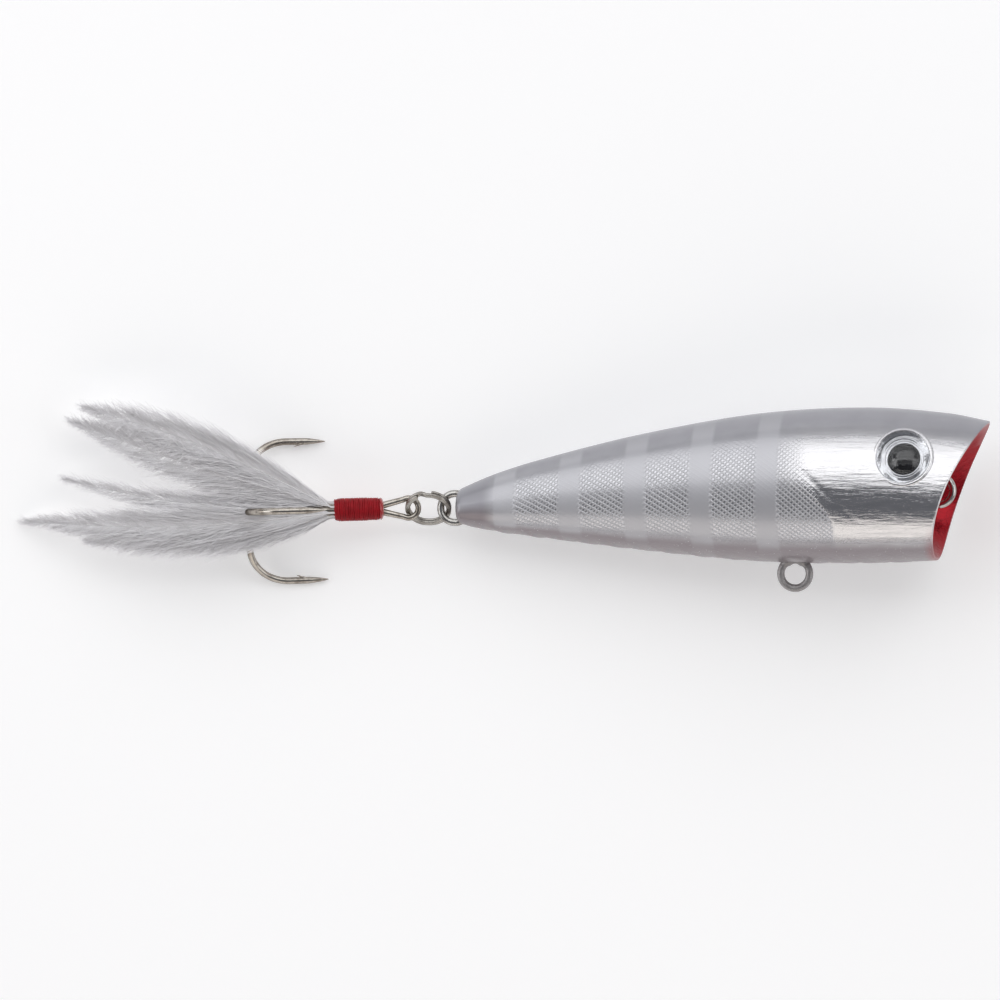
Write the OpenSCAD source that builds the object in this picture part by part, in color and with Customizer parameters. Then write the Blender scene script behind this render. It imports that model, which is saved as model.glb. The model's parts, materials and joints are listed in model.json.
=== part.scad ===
// Topwater popper: a hollow two-shell fishing lure with a cupped mouth, lying on its left side.
// The lure's nose points along +X, its back along +Y and its right side faces up along +Z.
// Z = 0 is the surface it lies on. The body lies nose-up, because its side is convex.

/* [Body] */
// Length from the tail end to the top of the mouth
body_length = 70; // [56:1:84]
// Depth from back to belly at the deepest section
body_depth = 20.2; // [17:0.1:24]
// Width from side to side at the widest section
body_width = 17.4; // [15:0.1:21]
// Thickness of the moulded shell
wall = 1.3; // [1:0.1:1.6]
// Angle at which the body lies, nose up
body_pitch = 5; // [3:0.5:8]

/* [Mouth] */
// How far the top of the mouth stands ahead of the bottom
mouth_rake = 6.9; // [4:0.1:9]
// Depth of the cup behind the rim
cup_depth = 5.6; // [4.6:0.1:7]
// Width of the flat edge round the mouth
lip = 0.55; // [0.3:0.05:0.8]

/* [Wire forms] */
// Wire diameter of the line tie and of the two hook hangers
form_wire = 0.95; // [0.7:0.05:1.2]
// Outer diameter of each exposed eye
form_eye = 4.7; // [4.4:0.1:5.6]
// Distance from the tail end to the centre of the tail eye, outwards
tail_eye_out = 0.3; // [0.1:0.1:1.2]
// Distance of the belly eye's centre below the belly
belly_eye_out = 1.45; // [0.8:0.05:2]
// Distance of the belly eye from the tail end
belly_eye_x = 44.4; // [36:0.1:50]
// Height of the line tie above the body axis
line_tie_y = 2.3; // [0:0.1:4]
// Distance of the line tie's eye from the floor of the cup
line_tie_out = 3.7; // [2.8:0.1:4.2]

/* [Eyes] */
// Diameter of the eye
eye_d = 7; // [5:0.1:8]
// Diameter of the pupil
pupil_d = 4.2; // [3:0.1:4.6]
// Distance of the eye's centre from the tail end
eye_x = 59.6; // [52:0.1:62]
// Height of the eye's centre above the body axis
eye_y = 6.6; // [3:0.1:8]
// Depth of the eye's socket
socket_depth = 1.2; // [0.9:0.1:1.6]

/* [Inside] */
// Diameter of a rattle ball
ball_d = 4.8; // [3.5:0.1:5]
// Free travel of the row of rattle balls
ball_travel = 5; // [2:0.5:6]
// Diameter of the tail weight
weight_d = 4.4; // [3.5:0.1:4.6]
// Length of the tail weight
weight_length = 8.5; // [6:0.5:9]

/* [Split ring] */
// Outer diameter of the split ring
ring_d = 6; // [5.4:0.02:7]
// Width of its flattened wire, measured outwards
ring_wire = 0.62; // [0.5:0.02:0.7]
// Thickness of its two turns together
ring_stack = 0.84; // [0.7:0.02:0.9]
// Tilt of the ring against the surface it lies on
ring_tilt = 48; // [40:1:70]

/* [Treble hook] */
// Wire diameter of the hooks
hook_wire = 0.9; // [0.7:0.05:1.1]
// Distance from the treble's axis to the outside of a point
hook_reach = 10.9; // [8.5:0.1:13]
// Distance from the eye to the far side of the bends
hook_length = 21.1; // [17:0.1:26]
// Length of a hook's point limb past the bend
limb_length = 5.2; // [4:0.1:7]
// Inner radius of the treble's eye
hook_eye_r = 0.9; // [0.88:0.01:1.2]
// Diameter to which the wire is drawn down round the treble's eye
hook_eye_wire = 0.76; // [0.6:0.02:0.9]
// Roll of the treble about its own axis
treble_roll = 0; // [0:0.5:6]
// Turn of the treble towards the belly side, on the surface
treble_yaw = 1.5; // [0:0.5:3]

/* [Dressing] */
// Length of the thread wrap
wrap_length = 6.1; // [4:0.1:8]
// Outer diameter of the thread wrap
wrap_d = 3.06; // [2.9:0.02:3.6]
// Thread diameter, one turn to the next
thread_pitch = 0.24; // [0.2:0.01:0.4]
// Length of the longest feather past the wrap
feather_length = 40.5; // [30:0.5:46]

/* [Hidden] */
$fn = 48;

// Clearances
seat_gap = 0.05; // between a piece and the pocket that holds it
pass_gap = 0.1; // between linked wires

// ---------------------------------------------------------------- curves

// Height of a smooth curve through points [x, y], with free ends
function slope_at(p, i) =
    let (a = max(i - 1, 0), b = min(i + 1, len(p) - 1))
    (p[b].y - p[a].y) / (p[b].x - p[a].x);
function span_of(p, x, i = 0) = i >= len(p) - 2 || x < p[i + 1].x ? i : span_of(p, x, i + 1);
function smooth(p, x) =
    let (
        i = span_of(p, x),
        run = p[i + 1].x - p[i].x,
        t = (x - p[i].x) / run
    )
    p[i].y * (1 + 2 * t) * (1 - t) * (1 - t)
    + p[i + 1].y * t * t * (3 - 2 * t)
    + run * (slope_at(p, i) * t * (1 - t) * (1 - t) - slope_at(p, i + 1) * t * t * (1 - t));

// Outlines as shares: distance along the body, then height as a share of the depth or half width
BACK = [[0, 0.115], [0.07, 0.218], [0.16, 0.316], [0.35, 0.479], [0.57, 0.61], [0.77, 0.647],
        [0.92, 0.611], [1, 0.558]];
BELLY = [[0, -0.1], [0.07, -0.148], [0.16, -0.19], [0.35, -0.27], [0.57, -0.342], [0.77, -0.352],
         [0.92, -0.334], [1, -0.31]];
SIDE = [[0, 0.27], [0.07, 0.4], [0.16, 0.535], [0.3, 0.7], [0.45, 0.86], [0.6, 0.96],
        [0.75, 1], [0.9, 0.96], [1, 0.84]];

function share(x) = x / body_length;
function back_y(x) = body_depth * smooth(BACK, share(x));
function belly_y(x) = body_depth * smooth(BELLY, share(x));
function mid_y(x) = (back_y(x) + belly_y(x)) / 2;
function half_depth(x) = (back_y(x) - belly_y(x)) / 2;
function half_width(x) = body_width / 2 * smooth(SIDE, share(x));
// The section is a little fuller below than above, more so towards the mouth
function fullness(x) = 0.08 + 0.14 * pow(share(x), 4);
// A point of the skin: v is 0 at the back and 180 at the belly, inset is the depth under the skin
function skin(x, v, inset = 0) = [
    x,
    mid_y(x) + (half_depth(x) - inset) * cos(v),
    (half_width(x) - inset) * sin(v) * (1 - fullness(x) * cos(v))
];

// ---------------------------------------------------------------- mouth

mouth_top_y = back_y(body_length);
mouth_bottom_x = body_length - mouth_rake;
mouth_bottom_y = belly_y(mouth_bottom_x);
// Distance along the body of the raked rim, at height y
function rim_x(y) =
    mouth_bottom_x + mouth_rake
    * pow(max(0, (y - mouth_bottom_y) / (mouth_top_y - mouth_bottom_y)), 1.8);
// Where the skin at angle v meets the rim, found by stepping
function rim_station(v, x = 66, n = 6) = n == 0 ? x : rim_station(v, rim_x(skin(x, v).y), n - 1);
function rim_point(v) = skin(rim_station(v), v);
mouth_mid = (rim_point(0) + rim_point(180)) / 2;
// A point of the cup: r is 1 at the skin and 0 in the middle, back is the depth behind its surface
function cup_point(v, r, back = 0) =
    let (
        p = rim_point(v),
        y = mouth_mid.y + (p.y - mouth_mid.y) * r,
        z = p.z * r,
        s = min(1, r / lip_inner)
    )
    [rim_x(y) - cup_depth * (1 - pow(s, 2.2)) - back, y, z];

// ---------------------------------------------------------------- half shell

STATIONS = 30; // rows along the side
AROUND = 20; // steps from back to belly
CUP_ROWS = 7; // rows down the cup
tail_round = 0.7; // rounding of the tail end
cavity_start = 8; // the tail behind this is solid plastic
cavity_round = [1.4, 0.5]; // how much further in the cavity's first two rows lie
cup_edge = 0.93; // share of the radius at which the cup's curve starts
lip_inner = 1 - lip / half_depth(body_length * 0.9); // share of the radius inside the lip
function row_v(j) = 180 * j / AROUND;

// Rows of the outside: the rounded tail end, the side, the lip and the cup
function outer_row(i) =
    i < 2 ? let (x = tail_round * (i == 0 ? 0.02 : 0.3), inset = tail_round * (i == 0 ? 0.9 : 0.3))
        [for (j = [0:AROUND]) skin(x, row_v(j), inset)]
    : i < 2 + STATIONS ? let (t = (i - 2) / (STATIONS - 1))
        [for (j = [0:AROUND])
            let (x = tail_round + (rim_station(row_v(j)) - tail_round) * t) skin(x, row_v(j))]
    : let (k = i - 2 - STATIONS, r = k == 0 ? lip_inner : (1 - k / CUP_ROWS) * cup_edge)
        [for (j = [0:AROUND]) cup_point(row_v(j), r)];

// Rows of the cavity: its tail end, its side and the back of the cup
inner_edge = 1 - wall / (body_depth / 2); // share of the radius where the side meets the cup's back
function inner_front(v) = cup_point(v, inner_edge, wall).x;
function inner_row(i) =
    i < 2 ? let (inset = wall + cavity_round[i])
        [for (j = [0:AROUND]) skin(cavity_start + 0.01 * i, row_v(j), inset)]
    : i < 2 + STATIONS ? let (t = (i - 2) / (STATIONS - 1))
        [for (j = [0:AROUND])
            let (x0 = cavity_start + 0.5, x = x0 + (inner_front(row_v(j)) - x0) * t)
            skin(x, row_v(j), wall)]
    : let (k = i - 2 - STATIONS, r = (1 - (k + 1) / (CUP_ROWS + 1)) * inner_edge)
        [for (j = [0:AROUND]) cup_point(row_v(j), r, wall)];

ROWS = 2 + STATIONS + CUP_ROWS;
row_points = AROUND + 1;
outer_points = concat(
    [[0, mid_y(0), 0]],
    [for (i = [0:ROWS - 1]) each outer_row(i)],
    [cup_point(0, 0)]
);
inner_points = concat(
    [[cavity_start, mid_y(cavity_start), 0]],
    [for (i = [0:ROWS - 1]) each inner_row(i)],
    [cup_point(0, 0, wall)]
);
// Number of the point in row i at step j; the two ends are single points
function at(i, j) = 1 + i * row_points + j;
patch_size = ROWS * row_points + 2;
last_point = patch_size - 1;
patch_faces = concat(
    [for (j = [0:AROUND - 1]) [0, at(0, j + 1), at(0, j)]],
    [for (i = [0:ROWS - 2]) for (j = [0:AROUND - 1]) each [
        [at(i, j), at(i, j + 1), at(i + 1, j + 1)],
        [at(i, j), at(i + 1, j + 1), at(i + 1, j)]
    ]],
    [for (j = [0:AROUND - 1]) [last_point, at(ROWS - 1, j), at(ROWS - 1, j + 1)]]
);
// The flat parting face joins the outside and the cavity along the back and along the belly
function parting_step(a, b, flip) =
    flip ? [[a, b, b + patch_size], [a, b + patch_size, a + patch_size]]
    : [[b, a, a + patch_size], [b, a + patch_size, b + patch_size]];
function parting_line(j) = concat([0], [for (i = [0:ROWS - 1]) at(i, j)], [last_point]);
function parting_faces(j, flip) =
    let (line = parting_line(j))
    [for (k = [0:len(line) - 2]) each parting_step(line[k], line[k + 1], flip)];

module shell_blank() {
    polyhedron(
        points = concat(outer_points, inner_points),
        faces = concat(
            patch_faces,
            [for (f = patch_faces) [f[2] + patch_size, f[1] + patch_size, f[0] + patch_size]],
            parting_faces(0, false),
            parting_faces(AROUND, true)
        )
    );
}

// ---------------------------------------------------------------- inside the shells

form_r = form_wire / 2;
form_mean = form_eye / 2 - form_r; // radius of an eye's centre line
form_hole = form_mean - form_r;
anchor_gap = 0.5; // between the exposed eye and the anchor eye inside
anchor_step = form_eye + anchor_gap; // from one eye's centre to the other's
post_r = form_hole - seat_gap;

tail_eye = [-tail_eye_out, 0];
tail_anchor = tail_eye + [anchor_step, 0];
belly_eye = [belly_eye_x, belly_y(belly_eye_x) - belly_eye_out];
belly_anchor = belly_eye + [0, anchor_step];
cup_floor_x = cup_point(0, 0).x;
line_eye = [cup_floor_x + line_tie_out, line_tie_y];
line_anchor = [cup_floor_x - wall - form_eye / 2, line_tie_y];

tube_wall = 0.9; // wall of the two moulded tubes
seat_wall = 0.9; // wall round an anchor eye and round an eye's socket
boss_cap = 0.7; // plastic over the end of a post
bulkhead = 1.2; // thickness of a bulkhead
weight_x = cavity_start + bulkhead + seat_gap; // tail end of the weight
weight_y = mid_y(weight_x) + 0.2;
rattle_gap = 0.04; // between neighbouring balls
rattle_y = 3.2; // height of the row of balls
bite = 0.3; // by which a tube or a plate runs into the one it joins
weight_end = weight_x + weight_length + seat_gap;
rattle_x = weight_end + 2 * bulkhead - bite; // tail end of the ball chamber
rattle_length = 3 * ball_d + 2 * rattle_gap + ball_travel + 2 * seat_gap;

// A bulkhead across the cavity, ending inside the wall
module bulkhead_plate(x) {
    sink = wall / 2;
    translate([x, mid_y(x), 0])
        rotate([90, 0, 90])
            linear_extrude(bulkhead)
                polygon([for (j = [0:AROUND])
                    let (p = skin(x, row_v(j), sink))
                    [p.y - mid_y(x), max(0, p.z)]]);
}

// Half of a tube along the body, closed by the bulkheads at its ends
module half_tube(x, length, y, r) {
    translate([x, y, 0])
        rotate([0, 90, 0])
            rotate_extrude(angle = 180, start = 90)
                translate([r, 0])
                    square([tube_wall, length]);
}

// A boss that carries the anchor eye of a wire form
module anchor_boss(at) {
    translate([at.x, at.y, 0])
        cylinder(r = form_eye / 2 + seat_wall, h = post_top + boss_cap);
}

// Room for a wire form: two round pockets and the neck between them, half in each shell
module form_pocket(eye, anchor) {
    pocket_r = form_eye / 2 + seat_gap;
    pocket_h = 2 * (form_r + seat_gap);
    way = anchor - eye;
    for (c = [eye, anchor])
        translate([c.x, c.y, -pocket_h / 2])
            cylinder(r = pocket_r, h = pocket_h);
    translate([eye.x, eye.y, 0])
        rotate([0, 90, atan2(way.y, way.x)])
            cylinder(r = neck_r + seat_gap, h = norm(way));
}

// Hole in the right shell for a post, which the left shell carries through an anchor eye
module post_hole(at) {
    translate([at.x, at.y, -post_root])
        cylinder(r = post_r + seat_gap, h = post_root + post_top + seat_gap);
}

post_root = form_r + seat_gap + bite; // depth of a post's foot under the parting plane
post_top = 1.6; // height of a post above the parting plane
eye_lean = 17; // the eye's axis leans this much towards the back
eye_face = skin(eye_x, acos((eye_y - mid_y(eye_x)) / half_depth(eye_x)));
socket_r = eye_d / 2 + seat_gap;

// Frame of the eye: origin on the skin at the eye's centre, +Z outwards
module at_eye() {
    translate([eye_x, eye_y, eye_face.z])
        rotate([-eye_lean, 0, 0])
            children();
}

// The plates that close the weight's tube and the balls' tube
module bulkheads() {
    bulkhead_plate(cavity_start);
    bulkhead_plate(weight_end);
    bulkhead_plate(rattle_x - bulkhead);
    bulkhead_plate(rattle_x + rattle_length);
}

module shell_features(side) {
    difference() {
        union() {
            shell_blank();
            bulkheads();
            half_tube(weight_x - bite, weight_length + 2 * bite, weight_y, weight_d / 2 + seat_gap);
            half_tube(rattle_x - bite, rattle_length + 2 * bite, rattle_y, ball_d / 2 + seat_gap);
            anchor_boss(belly_anchor);
            anchor_boss(line_anchor);
            // thickening behind the eye
            intersection() {
                at_eye()
                    translate([0, 0, -socket_depth - wall])
                        cylinder(r = socket_r + seat_wall, h = wall + bite);
                translate([eye_x - eye_d, eye_y - eye_d, wall])
                    cube([2 * eye_d, 2 * eye_d, body_width]);
            }
        }
        at_eye() translate([0, 0, -socket_depth]) cylinder(r = socket_r, h = 5);
        form_pocket(tail_eye, tail_anchor);
        form_pocket(belly_eye, belly_anchor);
        form_pocket(line_eye, line_anchor);
        if (side == "right")
            for (a = [tail_anchor, belly_anchor, line_anchor])
                post_hole(a);
    }
}

// Places a piece of the lure's body as it lies on its side
body_low = min([for (i = [0:60])
    let (x = body_length * i / 60) x * sin(body_pitch) - half_width(x) * cos(body_pitch)]);
tail_at = [-6.13, -1.25, -body_low]; // where the tail end of the body axis lies
module as_lying() {
    translate(tail_at) rotate([0, -body_pitch, 0]) children();
}

module shell_right() {
    color("silver") as_lying() shell_features("right");
}

module shell_left() {
    color("silver") as_lying() {
        mirror([0, 0, 1]) shell_features("left");
        for (a = [tail_anchor, belly_anchor, line_anchor])
            translate([a.x, a.y, -post_root])
                cylinder(r = post_r, h = post_top + post_root);
    }
}

// ---------------------------------------------------------------- wire forms

neck_r = form_wire * 0.72; // two wires twisted together

// A wire ring with its axis along Z
module wire_ring(mean, r) {
    rotate_extrude() translate([mean, 0]) circle(r = r);
}

// A figure-of-eight wire form: the exposed eye, the neck and the anchor eye
module wire_form(eye, anchor) {
    way = anchor - eye;
    neck = norm(way) - 2 * form_mean;
    for (c = [eye, anchor])
        translate([c.x, c.y, 0])
            wire_ring(form_mean, form_r);
    translate([eye.x, eye.y, 0])
        rotate([0, 90, atan2(way.y, way.x)])
            translate([0, 0, form_mean])
                cylinder(r = neck_r, h = neck);
}

module line_tie() {
    color("silver") as_lying() wire_form(line_eye, line_anchor);
}

module belly_eyelet() {
    color("darkgray") as_lying() wire_form(belly_eye, belly_anchor);
}

module tail_eyelet() {
    color("silver") as_lying() wire_form(tail_eye, tail_anchor);
}

// ---------------------------------------------------------------- weight, balls and eyes

module tail_weight() {
    color("goldenrod") as_lying()
        translate([weight_x, weight_y, 0])
            rotate([0, 90, 0])
                cylinder(d = weight_d, h = weight_length);
}

module rattle_ball(i) {
    color("lightgray") as_lying()
        translate([rattle_x + seat_gap + ball_d / 2 + i * (ball_d + rattle_gap), rattle_y, 0])
            sphere(d = ball_d);
}

disc_h = 0.35; // foil disc at the bottom of the socket
dome_h = 1.35; // height of the clear dome above the disc
pupil_h = 0.85;
pupil_shift = 0.25; // the pupil sits a little forward

module on_side(side) {
    as_lying() mirror([0, 0, side == "left" ? 1 : 0]) at_eye() translate([0, 0, -socket_depth])
        children();
}

module eye_disc(side) {
    color("gainsboro") on_side(side)
        translate([0, 0, 0.02])
            cylinder(d = eye_d, h = disc_h);
}

// A round cap of radius r and height h, standing on Z = 0
module cap(r, h) {
    ball = (r * r + h * h) / (2 * h);
    rotate_extrude()
        intersection() {
            translate([0, h - ball]) circle(r = ball, $fn = 96);
            square([r, h]);
        }
}

module eye_pupil(side) {
    color("black") on_side(side)
        translate([pupil_shift, 0, disc_h + 0.04])
            cap(pupil_d / 2, pupil_h);
}

module eye_lens(side) {
    color("white", 0.4) on_side(side)
        translate([0, 0, disc_h + 0.04])
            difference() {
                union() {
                    cylinder(d = eye_d, h = socket_depth - disc_h);
                    translate([0, 0, socket_depth - disc_h - 0.01])
                        cap(eye_d / 2, dome_h - socket_depth + disc_h + 0.4);
                }
                translate([pupil_shift, 0, -0.01])
                    cap(pupil_d / 2 + 0.04, pupil_h + 0.05);
            }
}

// ---------------------------------------------------------------- split ring

ring_out = ring_d / 2;
ring_in = ring_out - ring_wire;
ring_mean = (ring_in + ring_out) / 2;
turn_gap = 0.03; // between the two turns
turn_h = (ring_stack - turn_gap) / 2;
ramp_angle = 26; // arc over which the wire steps from one turn to the other
end_gap = 6; // arc between a wire end and the ramp

// Outline of the flattened wire, rounded at its corners; slim is taken off all round
function wire_outline(mid, slim = 0) =
    let (a = ring_wire / 2 - slim, b = turn_h / 2 - slim, c = 0.12)
    [for (p = [[-a + c, -b], [a - c, -b], [a, -b + c], [a, b - c],
               [a - c, b], [-a + c, b], [-a, b - c], [-a, -b + c]]) p + [ring_mean, mid]];

module ring_turn(mid, from) {
    rotate_extrude(angle = 360 - ramp_angle - end_gap, start = from, $fn = 96)
        polygon(wire_outline(mid));
}

// The step between the turns, a few slices of a slightly slimmer wire that ends inside both turns
module ring_ramp() {
    slices = 8;
    buried = 1.5;
    top = (turn_h + turn_gap) / 2;
    points = [for (k = [0:slices]) let (
            a = (ramp_angle / 2 + buried) * (1 - 2 * k / slices),
            t = min(1, max(0, a / ramp_angle + 0.5)),
            mid = top * cos(180 * t)
        )
        for (p = wire_outline(mid, 0.006)) [p.x * cos(a), p.x * sin(a), p.y]];
    sides = 8;
    polyhedron(
        points = points,
        faces = concat(
            [[for (s = [0:sides - 1]) s]],
            [for (k = [0:slices - 1]) for (s = [0:sides - 1])
                let (n = (s + 1) % sides) each [
                    [k * sides + s, (k + 1) * sides + n, k * sides + n],
                    [k * sides + s, (k + 1) * sides + s, (k + 1) * sides + n]
                ]],
            [[for (s = [0:sides - 1]) slices * sides + sides - 1 - s]]
        )
    );
}

// How far from an eye's centre the ring's near face can pass, when the ring's wire goes through
// the eye at a slope: the least room over the thickness of the eye's own wire
function pass_room(mean, r, slope) =
    min([for (h = [0:0.1:1])
        sqrt(pow(mean - r * sqrt(1 - h * h) - pass_gap, 2)
            - pow(ring_stack / 2 / sin(slope) + r * h / tan(slope), 2))]);

// The ring passes through the tail eye and the treble's eye at the ends of its diameter along X
cross_x = tail_eye.x - pass_room(form_mean, form_r, ring_tilt) + ring_wire / 2;
cross_at = tail_at + [cross_x * cos(body_pitch), 0, cross_x * sin(body_pitch)];
ring_at = cross_at - [ring_mean, 0, 0];
ramp_at = 100; // where round the ring the wire steps over, clear of both eyes

module split_ring() {
    top = (turn_h + turn_gap) / 2;
    color("silver")
        translate(ring_at)
            rotate([ring_tilt, 0, 0])
                rotate([0, 0, ramp_at]) {
                    ring_turn(top, ramp_angle / 2 + end_gap);
                    ring_turn(-top, ramp_angle / 2);
                    ring_ramp();
                }
}

// ---------------------------------------------------------------- treble hook

hook_r = hook_wire / 2;
bundle = (hook_wire + 0.03) / sqrt(3); // from the treble's axis to each wire's centre
limb_at = hook_reach - hook_r; // from the treble's axis to the point limb's centre
bend_r = (limb_at - bundle) / 2;
bend_x = -hook_length + bend_r + hook_r; // centre of the bend along the treble
point_x = bend_x + limb_length;
hook_eye_wire_r = hook_eye_wire / 2;
eye_mean = hook_eye_r + hook_eye_wire_r;
// centre of the eye's round end
eye_centre = ring_wire / 2 - pass_room(eye_mean, hook_eye_wire_r, ring_tilt - treble_roll);
hook_directions = [-30, 210]; // the double's two hooks; the single points straight up
// The treble lies on its lowest point and on the split ring
lowest = limb_at * sin(30 + treble_roll) + 0.35;
eye_rise = bundle * sin(30) + 0.02;
treble_at = ring_at - [ring_mean, 0, 0] + [0, 0, eye_rise];
treble_pitch = asin((lowest - treble_at.z) / -point_x);

module as_hooked() {
    translate(treble_at)
        rotate([0, 0, treble_yaw])
            rotate([0, treble_pitch, 0])
                rotate([treble_roll, 0, 0])
                    children();
}

SWEEP_SIDES = 10;
// One tube along a path, its radius given at each point; the path lies mainly in one plane whose
// normal is given
module tube_along(path, radii, normal) {
    last = len(path) - 1;
    points = [for (i = [0:last]) let (
            ahead = path[min(i + 1, last)] - path[max(i - 1, 0)],
            across = cross(normal, ahead) / norm(cross(normal, ahead)),
            up = cross(ahead, across) / norm(cross(ahead, across))
        )
        for (s = [0:SWEEP_SIDES - 1])
            path[i] + radii[i] * (across * cos(360 * s / SWEEP_SIDES) + up * sin(360 * s / SWEEP_SIDES))];
    polyhedron(
        points = points,
        faces = concat(
            [[for (s = [0:SWEEP_SIDES - 1]) SWEEP_SIDES - 1 - s]],
            [for (i = [0:last - 1]) for (s = [0:SWEEP_SIDES - 1])
                let (n = (s + 1) % SWEEP_SIDES) each [
                    [i * SWEEP_SIDES + s, i * SWEEP_SIDES + n, (i + 1) * SWEEP_SIDES + n],
                    [i * SWEEP_SIDES + s, (i + 1) * SWEEP_SIDES + n, (i + 1) * SWEEP_SIDES + s]
                ]],
            [[for (s = [0:SWEEP_SIDES - 1]) last * SWEEP_SIDES + s]]
        )
    );
}

// Path of one hook in its own plane, [along, outwards], from the shank to the point
shank_start = -3.1; // where the wires come together behind the eye
function hook_path(from) = concat(
    [[from, bundle]],
    [for (a = [0:15:180]) [bend_x - bend_r * sin(a), bundle + bend_r * (1 - cos(a))]],
    [[point_x - 2.4, limb_at], [point_x - 1, limb_at], [point_x, limb_at]]
);
hook_radii_end = [hook_r, hook_r * 0.62, 0.03];
function turned(p, direction) = [p[0], p[1] * cos(direction), p[1] * sin(direction)];

// The barb: a sliver cut up from the limb, which points towards the shank and the bend
barb_back = 4.3; // distance of its tip from the hook's point
barb_rise = 0.25; // height of its tip above the wire
module barb(direction) {
    rotate([direction, 0, 0])
        translate([point_x - barb_back, limb_at - hook_r - barb_rise, 0])
            rotate([0, 0, 22])
                rotate([0, 90, 0])
                    cylinder(r1 = 0.05, r2 = 0.2, h = 1.5, $fn = 16);
}

// The radii along a hook's path: full up to the point, which tapers
function hook_radii(count) =
    [for (i = [0:count - 1]) i < count - 3 ? hook_r : hook_radii_end[i - count + 3]];
function backwards(list) = [for (i = [len(list) - 1:-1:0]) list[i]];

// The double: one wire from point to point, with the eye in its middle
module hook_double() {
    depth = -bundle * sin(30);
    eye_path = [for (a = [120:-15:-120]) [eye_centre + eye_mean * cos(a), eye_mean * sin(a), depth]];
    hook = hook_path(shank_start);
    radii = hook_radii(len(hook));
    path = concat(
        backwards([for (p = hook) turned(p, hook_directions[0])]),
        backwards(eye_path),
        [for (p = hook) turned(p, hook_directions[1])]
    );
    color("silver") as_hooked() {
        tube_along(
            path,
            concat(backwards(radii), [for (p = eye_path) hook_eye_wire_r], radii),
            [0, 0, 1]
        );
        for (direction = hook_directions)
            barb(direction);
    }
}

module hook_single() {
    path = hook_path(shank_start);
    color("silver") as_hooked() {
        tube_along([for (p = path) turned(p, 90)], hook_radii(len(path)), [0, 1, 0]);
        barb(90);
    }
}

module braze_core() {
    color("goldenrod") as_hooked()
        translate([bend_x + 1, 0, 0])
            rotate([0, 90, 0])
                cylinder(r = bundle - hook_r - 0.02, h = shank_start - bend_x - 1.6);
}

// ---------------------------------------------------------------- thread and feathers

wrap_x = -3.45 - wrap_length; // rear end of the wrap
quill_r = 0.12;
quill_at = bundle + hook_r + quill_r + 0.03; // from the treble's axis to a quill's centre
wrap_in = quill_at + quill_r + 0.03;

module thread_wrap() {
    turns = floor(wrap_length / thread_pitch);
    pitch = wrap_length / turns;
    scallop = 0.05;
    color("darkred") as_hooked()
        translate([wrap_x, 0, 0])
            rotate([0, 90, 0])
                rotate_extrude($fn = 64)
                    polygon(concat(
                        [[wrap_in, wrap_length], [wrap_in, 0]],
                        [for (i = [0:turns - 1]) each [
                            [wrap_d / 2 - scallop, i * pitch],
                            [wrap_d / 2, (i + 0.5) * pitch]
                        ]],
                        [[wrap_d / 2 - scallop, wrap_length]]
                    ));
}

// Lacquer that seals the last turns, towards the eye
module head_cement() {
    color("darkred") as_hooked()
        translate([wrap_x + wrap_length + 0.02, 0, 0])
            rotate([0, 90, 0])
                rotate_extrude()
                    polygon([[quill_at, 0], [wrap_d / 2 - 0.12, 0], [quill_at, 0.35]]);
}

// A feather is [quill angle, tip along, tip sideways, bow, width]; sizes are shares of the length
FEATHERS = [
    [70.3, 0.8, 0.343, 0.033, 0.12],
    [41, 0.84, 0.29, -0.019, 0.14],
    [20.7, 0.87, 0.1, -0.045, 0.06],
    [109.7, 1, 0, -0.03, 0.1],
    [139, 0.8, -0.058, -0.03, 0.11],
    [159.3, 0.62, -0.044, -0.03, 0.08]
];
droop_x = -hook_length - 1; // feathers start to hang once they are past the bends
droop_k = 95; // length in which they hang, squared
function droop(x) = x > droop_x ? 0 : -pow(droop_x - x, 2) / droop_k;

FEATHER_ROWS = 14;
feather_half = 0.13; // half the thickness of a leaf

module feather(i) {
    f = FEATHERS[i];
    quill_y = quill_at * cos(f[0]);
    quill_z = quill_at * sin(f[0]);
    sides = 8;
    points = concat(
        [for (x = [wrap_x + wrap_length - 0.4, wrap_x - 0.4]) for (s = [0:sides - 1])
            [x, quill_y + quill_r * cos(360 * s / sides), quill_z + quill_r * sin(360 * s / sides)]],
        [for (k = [1:FEATHER_ROWS]) let (
                t = k / FEATHER_ROWS,
                x = wrap_x - 0.4 - feather_length * f[1] * t,
                mid = quill_y + feather_length * (f[2] * t + f[3] * sin(180 * t)),
                half = feather_length * f[4] / 2 * pow(sin(180 * pow(t, 1.3)), 0.8) * (1 - 0.3 * t)
                    + quill_r * (1.1 - t),
                shift = (f[0] < 90 ? 1 : -1) * max(0, half - quill_r) * max(0, 1 - t * 2)
            )
            for (s = [0:sides - 1])
                [x, mid + shift + half * cos(360 * s / sides),
                 quill_z + droop(x) + feather_half * (1.05 - 0.6 * t) * sin(360 * s / sides)]]
    );
    last = FEATHER_ROWS + 1;
    color("white") as_hooked()
        polyhedron(
            points = points,
            faces = concat(
                [[for (s = [0:sides - 1]) s]],
                [for (k = [0:last - 1]) for (s = [0:sides - 1])
                    let (n = (s + 1) % sides) each [
                        [k * sides + s, (k + 1) * sides + n, k * sides + n],
                        [k * sides + s, (k + 1) * sides + s, (k + 1) * sides + n]
                    ]],
                [[for (s = [0:sides - 1]) last * sides + sides - 1 - s]]
            )
        );
}

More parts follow.
